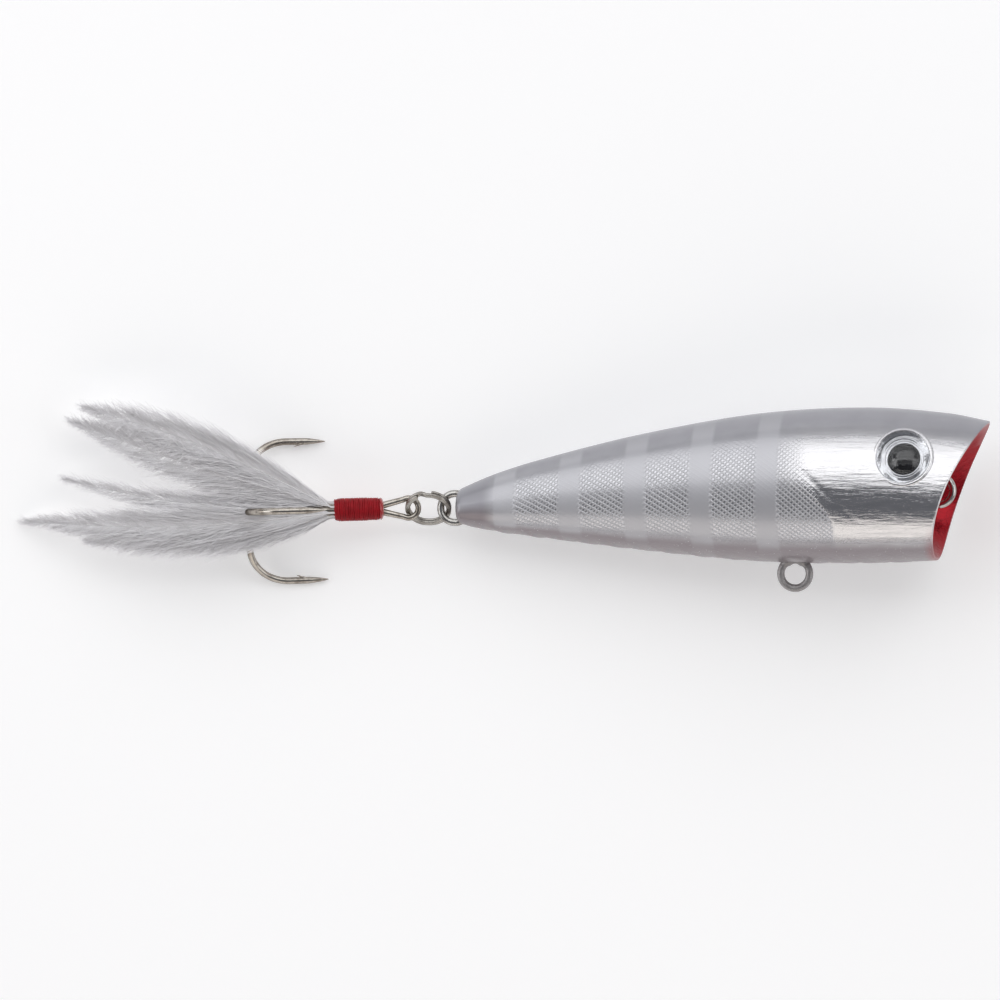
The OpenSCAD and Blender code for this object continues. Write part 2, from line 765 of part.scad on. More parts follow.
shell_right();
shell_left();
line_tie();
belly_eyelet();
tail_eyelet();
tail_weight();
eye_disc("right");  // eye_right_disc
eye_pupil("right");  // eye_right_pupil
eye_lens("right");  // eye_right_lens
eye_disc("left");  // eye_left_disc
eye_pupil("left");  // eye_left_pupil
eye_lens("left");  // eye_left_lens
rattle_ball(0);  // rattle_ball_1
rattle_ball(1);  // rattle_ball_2
rattle_ball(2);  // rattle_ball_3
split_ring();
hook_double();
hook_single();
braze_core();
thread_wrap();
head_cement();
feather(0);  // feather_1
feather(1);  // feather_2
feather(2);  // feather_3
feather(3);  // feather_4
feather(4);  // feather_5
feather(5);  // feather_6
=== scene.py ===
"""Looks of the topwater popper: painted shells with foil, eyes, wire, hooks, thread and feathers."""
import json
import math

import bpy
import numpy as np
from mathutils import Matrix, Vector


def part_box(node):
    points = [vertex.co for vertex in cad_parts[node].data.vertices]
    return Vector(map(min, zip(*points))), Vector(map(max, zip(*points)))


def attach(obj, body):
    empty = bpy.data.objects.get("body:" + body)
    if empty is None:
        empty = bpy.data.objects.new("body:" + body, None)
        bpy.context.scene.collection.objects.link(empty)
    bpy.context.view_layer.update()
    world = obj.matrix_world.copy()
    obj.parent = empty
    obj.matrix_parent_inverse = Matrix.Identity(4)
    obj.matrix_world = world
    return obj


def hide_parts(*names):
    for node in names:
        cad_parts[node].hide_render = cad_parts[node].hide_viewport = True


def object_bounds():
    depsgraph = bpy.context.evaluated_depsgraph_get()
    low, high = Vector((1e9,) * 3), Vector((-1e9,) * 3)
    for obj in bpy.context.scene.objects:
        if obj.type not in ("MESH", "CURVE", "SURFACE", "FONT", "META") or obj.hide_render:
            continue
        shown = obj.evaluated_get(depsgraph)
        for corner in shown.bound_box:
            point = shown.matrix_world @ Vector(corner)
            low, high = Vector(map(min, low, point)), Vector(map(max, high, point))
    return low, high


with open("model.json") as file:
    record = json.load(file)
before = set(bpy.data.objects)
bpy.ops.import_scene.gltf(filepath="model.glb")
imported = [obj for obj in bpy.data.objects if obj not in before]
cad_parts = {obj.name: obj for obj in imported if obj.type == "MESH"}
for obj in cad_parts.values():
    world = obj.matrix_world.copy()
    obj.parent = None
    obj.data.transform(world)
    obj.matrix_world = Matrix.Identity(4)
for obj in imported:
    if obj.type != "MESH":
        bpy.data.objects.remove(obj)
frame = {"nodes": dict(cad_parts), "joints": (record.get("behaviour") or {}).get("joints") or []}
cad_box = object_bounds()
random = np.random.default_rng(7)

# ------------------------------------------------------------------ places taken from the frame

MM = 0.001
JOINTS = {joint["name"]: joint for joint in frame["joints"]}
TAIL_EYE_OUT = 0.3  # from the tail end of the body to the tail eye's centre, mm

tail_axis = np.array(JOINTS["tail_swing"]["axis"])
PITCH = math.atan2(-tail_axis[0], tail_axis[2])  # the body lies nose-up
LENGTHWISE = np.array([math.cos(PITCH), 0, math.sin(PITCH)])
BACKWISE = np.array([0.0, 1, 0])
SIDEWISE = np.array([-math.sin(PITCH), 0, math.cos(PITCH)])
tail_eye_at = np.array(JOINTS["tail_swing"]["pos_m"]) / MM
tail_end = tail_eye_at + TAIL_EYE_OUT * LENGTHWISE


def lying(points):
    """Points of the body's own frame (along, up the back, out of the right side) as the lure lies"""
    p = np.asarray(points, float)
    return tail_end + p[..., 0:1] * LENGTHWISE + p[..., 1:2] * BACKWISE + p[..., 2:3] * SIDEWISE


# ------------------------------------------------------------------ shape of the body

BACK = [(0, 0.115), (0.07, 0.218), (0.16, 0.316), (0.35, 0.479), (0.57, 0.61), (0.77, 0.647),
        (0.92, 0.611), (1, 0.558)]
BELLY = [(0, -0.1), (0.07, -0.148), (0.16, -0.19), (0.35, -0.27), (0.57, -0.342), (0.77, -0.352),
         (0.92, -0.334), (1, -0.31)]
SIDE = [(0, 0.27), (0.07, 0.4), (0.16, 0.535), (0.3, 0.7), (0.45, 0.86), (0.6, 0.96), (0.75, 1),
        (0.9, 0.96), (1, 0.84)]


def smooth(points, x):
    """Height of a smooth curve through points, with free ends"""
    px, py = np.array(points, float).T
    low = np.maximum(np.arange(len(px)) - 1, 0)
    high = np.minimum(np.arange(len(px)) + 1, len(px) - 1)
    slope = (py[high] - py[low]) / (px[high] - px[low])
    x = np.asarray(x, float)
    i = np.clip(np.searchsorted(px, x, side="right") - 1, 0, len(px) - 2)
    run = px[i + 1] - px[i]
    t = (x - px[i]) / run
    return (py[i] * (1 + 2 * t) * (1 - t) ** 2 + py[i + 1] * t * t * (3 - 2 * t)
            + run * (slope[i] * t * (1 - t) ** 2 - slope[i + 1] * t * t * (1 - t)))


shell_low = np.minimum(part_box("shell_right")[0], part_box("shell_left")[0]) / MM
shell_high = np.maximum(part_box("shell_right")[1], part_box("shell_left")[1]) / MM
whole = np.linspace(0, 1, 200)
BODY_LENGTH = (shell_high[0] - tail_end[0]) / math.cos(PITCH)
BODY_DEPTH = (shell_high[1] - shell_low[1]) / (smooth(BACK, whole).max() - smooth(BELLY, whole).min())
BODY_WIDTH = 17.4
WALL = 1.3
MOUTH_RAKE = 6.9
CUP_DEPTH = 5.6
LIP = 0.55
TAIL_ROUND = 0.7
CAVITY_START = 8


def back_y(x):
    return BODY_DEPTH * smooth(BACK, x / BODY_LENGTH)


def belly_y(x):
    return BODY_DEPTH * smooth(BELLY, x / BODY_LENGTH)


def half_depth(x):
    return (back_y(x) - belly_y(x)) / 2


def skin(x, v, inset=0):
    """A point of the skin: v is 0 at the back and pi at the belly, inset is the depth under it"""
    x, v = np.broadcast_arrays(np.asarray(x, float), np.asarray(v, float))
    mid = (back_y(x) + belly_y(x)) / 2
    fullness = 0.08 + 0.14 * (x / BODY_LENGTH) ** 4
    half_width = BODY_WIDTH / 2 * smooth(SIDE, x / BODY_LENGTH)
    return np.stack([
        x,
        mid + (half_depth(x) - inset) * np.cos(v),
        (half_width - inset) * np.sin(v) * (1 - fullness * np.cos(v)),
    ], -1)


MOUTH_TOP_Y = float(back_y(BODY_LENGTH))
MOUTH_BOTTOM_X = BODY_LENGTH - MOUTH_RAKE
MOUTH_BOTTOM_Y = float(belly_y(MOUTH_BOTTOM_X))


def rim_x(y):
    """Distance along the body of the raked rim, at height y"""
    share = np.maximum(0, (y - MOUTH_BOTTOM_Y) / (MOUTH_TOP_Y - MOUTH_BOTTOM_Y))
    return MOUTH_BOTTOM_X + MOUTH_RAKE * share ** 1.8


def rim_station(v):
    """Where along the body the skin at angle v meets the rim"""
    x = np.full(np.shape(v), BODY_LENGTH * 0.94)
    for _ in range(8):
        x = rim_x(skin(x, v)[..., 1])
    return x


mouth_mid = (skin(rim_station(0.0), 0.0) + skin(rim_station(math.pi), math.pi)) / 2
LIP_INNER = 1 - LIP / float(half_depth(BODY_LENGTH * 0.9))


def cup_point(v, r, back=0):
    """A point of the cup: r is 1 at the skin and 0 in the middle, back is the depth behind it"""
    p = skin(rim_station(v), v)
    y = mouth_mid[1] + (p[..., 1] - mouth_mid[1]) * r
    depth = CUP_DEPTH * (1 - np.minimum(1, r / LIP_INNER) ** 2.2)
    return np.stack([rim_x(y) - depth - back, y, p[..., 2] * r], -1)


# ------------------------------------------------------------------ mesh helpers

def circle(radius, count):
    """Points of a round section, the first one on the side direction"""
    a = np.arange(count) * 2 * math.pi / count
    return radius * np.stack([np.cos(a), np.sin(a)], -1)


def grid_faces(rows, columns, wrap=False, start=0):
    """Quads between neighbouring rows of points"""
    last = columns if wrap else columns - 1
    i, j = np.meshgrid(np.arange(rows - 1), np.arange(last), indexing="ij")
    n = (j + 1) % columns
    return (start + np.stack([i * columns + j, i * columns + n, (i + 1) * columns + n,
                              (i + 1) * columns + j], -1)).reshape(-1, 4).tolist()


def join(*parts):
    """One set of points and faces from several"""
    points, faces, start = [], [], 0
    for p, f in parts:
        points.append(np.asarray(p, float).reshape(-1, 3))
        faces += [[k + start for k in face] for face in f]
        start += len(points[-1])
    return np.concatenate(points), faces


def sweep(path, section, scale=None, closed=False, up=(0, 0, 1)):
    """A section carried along a path without twist; scale sizes it at each point"""
    path = np.asarray(path, float)
    if closed:
        ahead = np.roll(path, -1, 0) - np.roll(path, 1, 0)
    else:
        ahead = np.gradient(path, axis=0)
    ahead /= np.linalg.norm(ahead, axis=1, keepdims=True)
    side = np.zeros_like(path)
    carried = np.cross(up, ahead[0])
    for i, direction in enumerate(ahead):
        carried = carried - carried.dot(direction) * direction
        carried /= np.linalg.norm(carried)
        side[i] = carried
    rise = np.cross(ahead, side)
    scale = np.ones(len(path)) if scale is None else np.asarray(scale, float)
    points = path[:, None] + scale[:, None, None] * (
        section[None, :, 0:1] * side[:, None] + section[None, :, 1:2] * rise[:, None])
    count = len(section)
    faces = grid_faces(len(path), count, wrap=True)
    if closed:
        last = (len(path) - 1) * count
        faces += [[last + s, last + (s + 1) % count, (s + 1) % count, s] for s in range(count)]
    else:
        faces.append(list(range(count))[::-1])
        faces.append([(len(path) - 1) * count + s for s in range(count)])
    return points.reshape(-1, 3), faces


def revolve(profile, count=96):
    """A closed solid turned round Z from a profile [radius, height] whose two ends lie on the axis"""
    profile = np.asarray(profile, float)
    a = np.arange(count) * 2 * math.pi / count
    rings = profile[1:-1]
    points = [[0, 0, profile[0][1]]]
    for r, h in rings:
        points += np.stack([r * np.cos(a), r * np.sin(a), np.full(count, h)], -1).tolist()
    points.append([0, 0, profile[-1][1]])
    faces = [[0, 1 + (s + 1) % count, 1 + s] for s in range(count)]
    faces += grid_faces(len(rings), count, wrap=True, start=1)
    top = len(points) - 1
    base = 1 + (len(rings) - 1) * count
    faces += [[base + s, base + (s + 1) % count, top] for s in range(count)]
    return np.array(points), faces


def ring_solid(profile, count=96):
    """A ring turned round Z from a closed profile [radius, height] given anticlockwise"""
    profile = np.asarray(profile, float)
    a = np.arange(count) * 2 * math.pi / count
    path = np.stack([np.cos(a), np.sin(a), np.zeros(count)], -1)
    points = profile[None, :, 0:1] * path[:, None] + profile[None, :, 1:2] * np.array([0, 0, 1.0])
    k = len(profile)
    faces = []
    for i in range(count):
        for s in range(k):
            n, m = (s + 1) % k, (i + 1) % count
            faces.append([i * k + s, m * k + s, m * k + n, i * k + n])
    return points.reshape(-1, 3), faces


def point_vectors(mesh, name, values):
    """Gives each point of a mesh three named numbers, which a finish can read"""
    layer = mesh.attributes.new(name, "FLOAT_VECTOR", "POINT")
    layer.data.foreach_set("vector", np.stack(values, -1).astype(np.float32).ravel())


def solid(name, shape, body, material, sharp=35):
    """An object from points in mm and faces; it rides on a body and takes the given finish"""
    points, faces = shape
    mesh = bpy.data.meshes.new(name)
    mesh.from_pydata((np.asarray(points) * MM).tolist(), [], faces)
    mesh.update()
    mesh.shade_smooth()
    mesh.set_sharp_from_angle(angle=math.radians(sharp))
    mesh.materials.append(material)
    piece = bpy.data.objects.new(name, mesh)
    bpy.context.scene.collection.objects.link(piece)
    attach(piece, body)
    return piece


# ------------------------------------------------------------------ material helpers

class Finish:
    """A node material with one Principled shader, and short calls that add nodes to it"""

    def __init__(self, name):
        self.material = bpy.data.materials.new(name)
        self.material.use_nodes = True
        self.tree = self.material.node_tree
        self.shader = self.tree.nodes["Principled BSDF"]

    def add(self, kind, inputs=(), **settings):
        made = self.tree.nodes.new(kind)
        for key, value in settings.items():
            setattr(made, key, value)
        for key, value in dict(inputs).items():
            self.put(made.inputs[key], value)
        return made

    def put(self, socket, value):
        if isinstance(value, bpy.types.NodeSocket):
            self.tree.links.new(value, socket)
        else:
            socket.default_value = value

    def set(self, **values):
        """Puts values or sockets on the shader; underscores stand for spaces"""
        for key, value in values.items():
            self.put(self.shader.inputs[key.replace("_", " ")], value)

    def place(self):
        """The surface's own place in mm"""
        at = self.add("ShaderNodeTexCoord").outputs["Object"]
        return self.scaled(at, (1 / MM,) * 3)

    def scaled(self, vector, factors):
        return self.add("ShaderNodeVectorMath", {0: vector, 1: factors}, operation="MULTIPLY").outputs[0]

    def attribute(self, name):
        at = self.add("ShaderNodeAttribute", attribute_name=name).outputs["Vector"]
        return self.add("ShaderNodeSeparateXYZ", {0: at}).outputs

    def math(self, operation, a, b=0.0, clamp=False):
        return self.add("ShaderNodeMath", {0: a, 1: b}, operation=operation, use_clamp=clamp).outputs[0]

    def all(self, *factors):
        """The product of several factors"""
        product = factors[0]
        for factor in factors[1:]:
            product = self.math("MULTIPLY", product, factor)
        return product

    def step(self, value, start, end):
        """0 before start and 1 after end, smooth between; start may be the larger"""
        return self.add("ShaderNodeMapRange", {"Value": value, "From Min": start, "From Max": end},
                        interpolation_type="SMOOTHSTEP").outputs["Result"]

    def noise(self, vector, scale, detail=3.0, roughness=0.5):
        return self.add("ShaderNodeTexNoise", {"Vector": vector, "Scale": scale, "Detail": detail,
                                               "Roughness": roughness}).outputs[0]

    def cells(self, vector, scale, feature="F1"):
        return self.add("ShaderNodeTexVoronoi", {"Vector": vector, "Scale": scale}, feature=feature)

    def between(self, factor, low, high):
        """A number between two, by a factor from 0 to 1"""
        return self.add("ShaderNodeMapRange", {"Value": factor, "To Min": low, "To Max": high}).outputs[0]

    def tint(self, factor, low, high):
        """A colour between two, by a factor from 0 to 1"""
        made = self.add("ShaderNodeMix", data_type="RGBA")
        for key, value in ((0, factor), (6, low), (7, high)):
            self.put(made.inputs[key], (*value, 1) if isinstance(value, tuple) else value)
        return made.outputs[2]

    def bump(self, height, depth, strength=1.0):
        """Relief whose height goes from 0 to 1 over depth mm, on top of the relief made before"""
        inputs = {"Height": height, "Distance": depth * MM, "Strength": strength}
        linked = self.shader.inputs["Normal"].links
        if linked:
            inputs["Normal"] = linked[0].from_socket
        self.set(Normal=self.add("ShaderNodeBump", inputs).outputs[0])


def metal(name, colour, worn, roughness, scratch=(1, 1, 1)):
    """Plated wire: its plating dulls in patches and shows fine drawing lines"""
    finish = Finish(name)
    place = finish.place()
    patches = finish.noise(place, 0.9, 4)
    lines = finish.noise(finish.scaled(place, scratch), 6, 2)
    finish.set(Base_Color=finish.tint(finish.step(patches, 0.42, 0.68), colour, worn),
               Metallic=1.0,
               Specular_Tint=(0.35, 0.34, 0.33, 1),
               Roughness=finish.between(patches, roughness * 0.7, roughness * 1.5))
    finish.bump(lines, 0.012)
    finish.bump(finish.noise(place, 14, 3), 0.006)
    return finish.material


# ------------------------------------------------------------------ finish of the body

BAR_START = 5.0  # five pale bars, from the tail end
BAR_PITCH = 8.78
BAR_WIDTH = 3.05
BAR_COUNT = 5
SCALE_LENGTH = 0.74  # one cell of the embossed net
SCALE_HEIGHT = 0.62


def body_finish():
    """Silver foil with an embossed net under clear coat, pale bars, grey back and belly, red mouth"""
    f = Finish("painted_shell")
    x, arc, angle = f.attribute("skin_mm")
    _, height, _ = f.attribute("lure_mm")
    rim, belly_share, _ = f.attribute("edges")
    place = f.add("ShaderNodeAttribute", attribute_name="lure_mm").outputs["Vector"]
    wobble = f.noise(place, 0.35, 2)
    grain = f.noise(place, 9, 3)

    # the foil covers the side between the back and the belly, with soft sprayed edges
    wavy = f.math("ADD", angle, f.math("MULTIPLY", wobble, 5))
    foil = f.all(f.step(wavy, 30, 70), f.step(wavy, 148, 130), f.step(x, 3.4, 6.6))

    # five pale bars; each is soft-edged and fades on the back and the belly
    along = f.math("SUBTRACT", x, BAR_START)
    phase = f.math("MULTIPLY", f.math("FRACT", f.math("DIVIDE", along, BAR_PITCH)), BAR_PITCH)
    last_end = BAR_START + BAR_COUNT * BAR_PITCH - 1
    bar = f.all(f.step(phase, -0.1, 0.45), f.step(phase, BAR_WIDTH + 0.3, BAR_WIDTH - 0.3),
                f.step(x, BAR_START - 0.1, BAR_START + 0.3), f.step(x, last_end, last_end - 1),
                f.between(f.step(angle, 14, 50), 0.15, 1.0), f.between(f.step(angle, 150, 128), 0.08, 1.0))

    # the embossed net: ridges along both diagonals, from the tail to the gill crease
    gill = f.between(f.step(height, -2.6, 5.6), 50.4, 45.6)
    past_gill = f.math("SUBTRACT", x, gill)
    a = f.math("DIVIDE", x, SCALE_LENGTH)
    b = f.math("DIVIDE", arc, SCALE_HEIGHT)
    first = f.math("PINGPONG", f.math("ADD", a, b), 0.5)
    second = f.math("PINGPONG", f.math("SUBTRACT", a, b), 0.5)
    ridges = f.step(f.math("MINIMUM", first, second), 0.22, 0.05)
    under_bar = f.math("SUBTRACT", 1.0, f.math("MULTIPLY", bar, 0.85))
    upwards = f.step(height, -1, 4)
    net_end = f.step(past_gill, f.between(upwards, 0.2, 2.5), f.between(upwards, -0.2, -3.0))
    net = f.all(ridges, f.step(x, 3, 9), net_end, f.step(angle, 40, 62), under_bar, foil)

    # head: bare mirror foil with fine scratches along the body; near the back it starts slowly
    head = f.step(past_gill, f.between(upwards, -0.2, -4.0), f.between(upwards, 0.5, 2.5))
    streaks = f.noise(f.scaled(place, (0.14, 1.0, 1.0)), 1.7, 6, 0.62)
    scratches = f.noise(f.scaled(place, (0.35, 3.2, 3.2)), 5, 3, 0.7)

    net_foil = f.tint(f.noise(place, 0.5, 3), (0.52, 0.52, 0.55), (0.66, 0.66, 0.69))
    head_foil = f.tint(streaks, (0.6, 0.6, 0.62), (0.84, 0.83, 0.84))
    foil_colour = f.tint(head, net_foil, head_foil)
    back_colour = f.tint(wobble, (0.31, 0.307, 0.335), (0.36, 0.357, 0.39))
    belly_colour = f.tint(wobble, (0.25, 0.215, 0.23), (0.31, 0.275, 0.29))
    paint = f.tint(f.step(angle, 84, 124), back_colour, belly_colour)
    colour = f.tint(foil, paint, foil_colour)
    colour = f.tint(f.math("MULTIPLY", bar, 0.85), colour, (0.52, 0.52, 0.55))

    # glitter in the belly's clear coat
    flakes = f.cells(place, 2.4)
    spark = f.all(f.step(flakes.outputs["Distance"], 0.16, 0.08), f.step(angle, 116, 146),
                  f.step(f.noise(place, 0.8, 2), 0.46, 0.58))
    colour = f.tint(spark, colour, (0.9, 0.91, 0.95))

    # red mouth, a bare silver edge, and red overspray on the bottom of the rim
    red = f.tint(f.noise(place, 0.6, 3), (0.22, 0.002, 0.007), (0.42, 0.005, 0.015))
    mouth = f.step(f.math("ADD", rim, f.math("MULTIPLY", grain, 0.16)), 0.2, 0.42)
    spray = f.all(f.step(f.math("ADD", rim, f.math("MULTIPLY", grain, 1.2)), -0.9, 0.9),
                  f.step(belly_share, 0.45, 0.85), 0.75)
    red_share = f.math("MAXIMUM", mouth, spray)
    colour = f.tint(red_share, colour, red)

    bare = f.math("SUBTRACT", 1.0, red_share)
    shine = f.all(foil, f.math("SUBTRACT", 1.0, f.math("MULTIPLY", bar, 0.8)))
    metallic = f.math("MAXIMUM", f.all(f.between(shine, 0.5, 1.0), bare), f.math("MULTIPLY", mouth, 0.8))
    rough = f.between(shine, 0.4, 0.27)
    rough = f.math("SUBTRACT", rough, f.all(shine, head, 0.12))
    rough = f.math("ADD", rough, f.math("MULTIPLY", net, 0.16))
    rough = f.math("ADD", rough, f.math("MULTIPLY", f.step(scratches, 0.55, 0.75), 0.1))
    rough = f.math("SUBTRACT", rough, f.math("MULTIPLY", mouth, 0.1))
    f.set(Base_Color=colour, Metallic=metallic, Roughness=rough, Coat_Weight=f.between(mouth, 0.42, 0.12),
          Coat_Roughness=0.08, Coat_IOR=1.5)

    f.bump(net, 0.06)
    f.bump(f.all(streaks, head, foil), 0.085)
    f.bump(f.all(scratches, foil), 0.006)
    f.bump(f.all(f.noise(place, 2.2, 4), f.step(angle, 122, 158)), 0.09)
    f.bump(grain, 0.0015)
    return f.material


# ------------------------------------------------------------------ body shells

SIDE_ROWS = 230
CUP_ROWS = 34
COLUMNS = 97  # from back to belly on one side
EDGE_ROWS = 6  # rows round the lip's corner and round the tail's corner
CORNER = 0.28  # size of the lip's rounded corner


def shell_rows(v):
    """Rows of one half's outside from the tail to the middle of the cup, in the body's frame"""
    rows = []
    for turn in np.linspace(12, 82, EDGE_ROWS):
        a = math.radians(turn)
        rows.append(skin(TAIL_ROUND * (1 - math.cos(a)), v, TAIL_ROUND * (1 - math.sin(a))))
    stations = rim_station(v)
    for t in np.linspace(0, 1, SIDE_ROWS):
        rows.append(skin(TAIL_ROUND + (stations - CORNER - TAIL_ROUND) * t, v))
    corner = cup_point(v, 1.0)
    before = rows[-1]
    after = cup_point(v, 1 - CORNER / float(half_depth(BODY_LENGTH * 0.9)))
    for t in np.linspace(0, 1, EDGE_ROWS)[1:]:
        rows.append(before * (1 - t) ** 2 + corner * 2 * t * (1 - t) + after * t * t)
    for t in np.linspace(0, 1, CUP_ROWS)[1:-1]:
        rows.append(cup_point(v, LIP_INNER * (1 - t ** 0.8)))
    return np.array(rows)


def cavity_rows(v, count):
    """As many rows of the cavity, from its tail end to the back of the cup"""
    edge = 1 - WALL / (BODY_DEPTH / 2)
    front = cup_point(v, edge, WALL)[..., 0]
    cup_rows = 24
    rows = [skin(CAVITY_START, v, WALL + 1.4), skin(CAVITY_START + 0.1, v, WALL + 0.5)]
    for t in np.linspace(0, 1, count - cup_rows - 2):
        start = CAVITY_START + 0.5
        rows.append(skin(start + (front - start) * t, v, WALL))
    for t in np.linspace(0, 1, cup_rows + 1)[1:]:
        rows.append(cup_point(v, edge * (1 - t * 0.97), WALL))
    return np.array(rows)


def half_shell(side):
    """One half: outside, cavity and the parting faces that join them; side is 1 right, -1 left"""
    v = np.linspace(0, math.pi, COLUMNS)
    outer = shell_rows(v)
    inner = cavity_rows(v, len(outer))
    rows = len(outer)
    outside = grid_faces(rows, COLUMNS)
    start = rows * COLUMNS
    inside = [face[::-1] for face in grid_faces(rows, COLUMNS, start=start)]
    parting = []
    for i in range(rows - 1):
        for j, flip in ((0, False), (COLUMNS - 1, True)):
            a, b = i * COLUMNS + j, (i + 1) * COLUMNS + j
            quad = [a, b, b + start, a + start]
            parting.append(quad[::-1] if flip else quad)
    ends = []
    for row, flip in ((0, False), (rows - 1, True)):
        outer_end = [row * COLUMNS + j for j in range(COLUMNS)]
        inner_end = [start + k for k in outer_end]
        ends.append(outer_end if not flip else outer_end[::-1])
        ends.append(inner_end[::-1] if not flip else inner_end)
    points = np.concatenate([outer.reshape(-1, 3), inner.reshape(-1, 3)])
    faces = outside + inside + parting + [end[::-1] for end in ends]
    points[:, 2] *= side
    if side < 0:
        faces = [face[::-1] for face in faces]
    return points, faces


EYE_D = 7.0
EYE_X = 59.6
EYE_Y = 6.6
EYE_LEAN = math.radians(17)
SOCKET_DEPTH = 1.2
GAP = 0.05
SEAT_R = EYE_D / 2 + GAP

_mid = float(back_y(EYE_X) + belly_y(EYE_X)) / 2
EYE_FACE = skin(EYE_X, math.acos((EYE_Y - _mid) / float(half_depth(EYE_X))))[2]


def at_eye(points, side):
    """Points of the eye's frame, Z outwards from the skin, in the body's frame"""
    p = np.asarray(points, float)
    y = p[:, 1] * math.cos(EYE_LEAN) + p[:, 2] * math.sin(EYE_LEAN)
    z = -p[:, 1] * math.sin(EYE_LEAN) + p[:, 2] * math.cos(EYE_LEAN)
    return np.stack([EYE_X + p[:, 0], EYE_Y + y, (EYE_FACE + z) * side], -1)


# the gill creases, behind the eye: from and to along and up the body, width and depth
CREASES = [(45.2, 5.9, 53.2, -1.4, 0.24, 0.09), (46.6, 5.4, 50.8, -3.4, 0.2, 0.05)]


def gill_relief(p):
    """Depth of the two gill creases, which cross behind the eye"""
    depth = np.zeros(len(p))
    for x0, y0, x1, y1, width, deep in CREASES:
        run = np.array([x1 - x0, y1 - y0])
        t = np.clip(((p[:, 0] - x0) * run[0] + (p[:, 1] - y0) * run[1]) / run.dot(run), 0, 1)
        away = np.hypot(p[:, 0] - x0 - t * run[0], p[:, 1] - y0 - t * run[1])
        depth += deep * np.exp(-(away / width) ** 2) * np.sin(math.pi * np.clip(t, 0.02, 0.98)) ** 0.4
    return depth


LUMP_RATES = (1.7, 2.9, 4.3, 6.1)  # how fast each wave of the lumps turns, radians per mm


def belly_lumps(p):
    """Height of the thick paint's lumps along the belly"""
    wave = sum(np.sin(p[:, 0] * rate + p[:, 2] * rate * 0.8 + rate ** 2) / rate for rate in LUMP_RATES)
    low = np.clip(1 - np.abs(p[:, 2]) / 4.5, 0, 1) * (p[:, 1] < 0)
    return 0.07 * wave * low * np.clip((BODY_LENGTH - MOUTH_RAKE - 1 - p[:, 0]) / 3, 0, 1)


def skin_attributes(mesh, body_points):
    """Where each point lies on the skin, for the body's finish"""
    x, y, z = body_points.T
    mid = (back_y(x) + belly_y(x)) / 2
    angle = np.degrees(np.arctan2(np.abs(z) / (BODY_WIDTH / 2 * smooth(SIDE, x / BODY_LENGTH)),
                                  (y - mid) / half_depth(x)))
    arc = np.radians(angle) * (half_depth(x) + BODY_WIDTH / 2 * smooth(SIDE, x / BODY_LENGTH)) / 2
    inwards = 1 - np.hypot(y - mouth_mid[1], z) / np.hypot(
        *(skin(rim_station(np.radians(angle)), np.radians(angle))[:, 1:] - mouth_mid[1:]).T)
    in_cup = (x > BODY_LENGTH * 0.8) & (inwards > 0.012)
    rim = np.where(in_cup, np.maximum(0.05, inwards * 8.5), np.minimum(x - rim_x(y), 0))
    belly = np.clip((angle - 60) / 120, 0, 1)
    point_vectors(mesh, "skin_mm", (x, arc, angle))
    point_vectors(mesh, "lure_mm", (x, y, z))
    point_vectors(mesh, "edges", (rim, belly, belly))


def body_points_of(mesh):
    """A mesh's points in the body's frame, in mm"""
    co = np.zeros(len(mesh.vertices) * 3)
    mesh.vertices.foreach_get("co", co)
    p = co.reshape(-1, 3) / MM - tail_end
    return np.stack([p @ LENGTHWISE, p @ BACKWISE, p @ SIDEWISE], -1)


def cut_socket(piece, side):
    """Cuts the eye's socket into a shell"""
    tool_shape = revolve([[0, -SOCKET_DEPTH], [SEAT_R, -SOCKET_DEPTH], [SEAT_R, 4], [0, 4]])
    points = lying(at_eye(tool_shape[0], side))
    faces = tool_shape[1] if side > 0 else [face[::-1] for face in tool_shape[1]]
    mesh = bpy.data.meshes.new("socket_tool")
    mesh.from_pydata((points * MM).tolist(), [], faces)
    tool = bpy.data.objects.new("socket_tool", mesh)
    bpy.context.scene.collection.objects.link(tool)
    cut = piece.modifiers.new("socket", "BOOLEAN")
    cut.object = tool
    cut.operation = "DIFFERENCE"
    cut.solver = "EXACT"
    graph = bpy.context.evaluated_depsgraph_get()
    result = bpy.data.meshes.new_from_object(piece.evaluated_get(graph))
    piece.modifiers.clear()
    piece.data = result
    bpy.data.objects.remove(tool)


def make_shell(name, side, node, material):
    points, faces = half_shell(side)
    surface = len(points) // 2
    outside = points[:surface]
    outside[:, 1] -= belly_lumps(outside)
    outside[:, 2] -= side * gill_relief(outside) * (outside[:, 0] < BODY_LENGTH * 0.85)
    piece = solid(name, (lying(points), faces), "lure_body", material, 40)
    cut_socket(piece, side)
    piece.data.shade_smooth()
    piece.data.set_sharp_from_angle(angle=math.radians(40))
    skin_attributes(piece.data, body_points_of(piece.data))
    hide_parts(node)
    return piece


paint = body_finish()
make_shell("skin_right", 1, "shell_right", paint)
make_shell("skin_left", -1, "shell_left", paint)

# ------------------------------------------------------------------ eyes

PUPIL_D = 4.2
# the socket's raised lip: radius and height over the skin
LIP_PROFILE = [[SEAT_R - 0.02, -0.7], [SEAT_R + 0.3, -0.7], [SEAT_R + 0.5, -0.3], [SEAT_R + 0.42, -0.02],
               [SEAT_R + 0.3, 0.09], [SEAT_R + 0.14, 0.12], [SEAT_R + 0.02, 0.07], [SEAT_R - 0.02, 0]]
PUPIL_SHIFT = 0.05
DISC_H = 0.35
DOME_H = 1.35


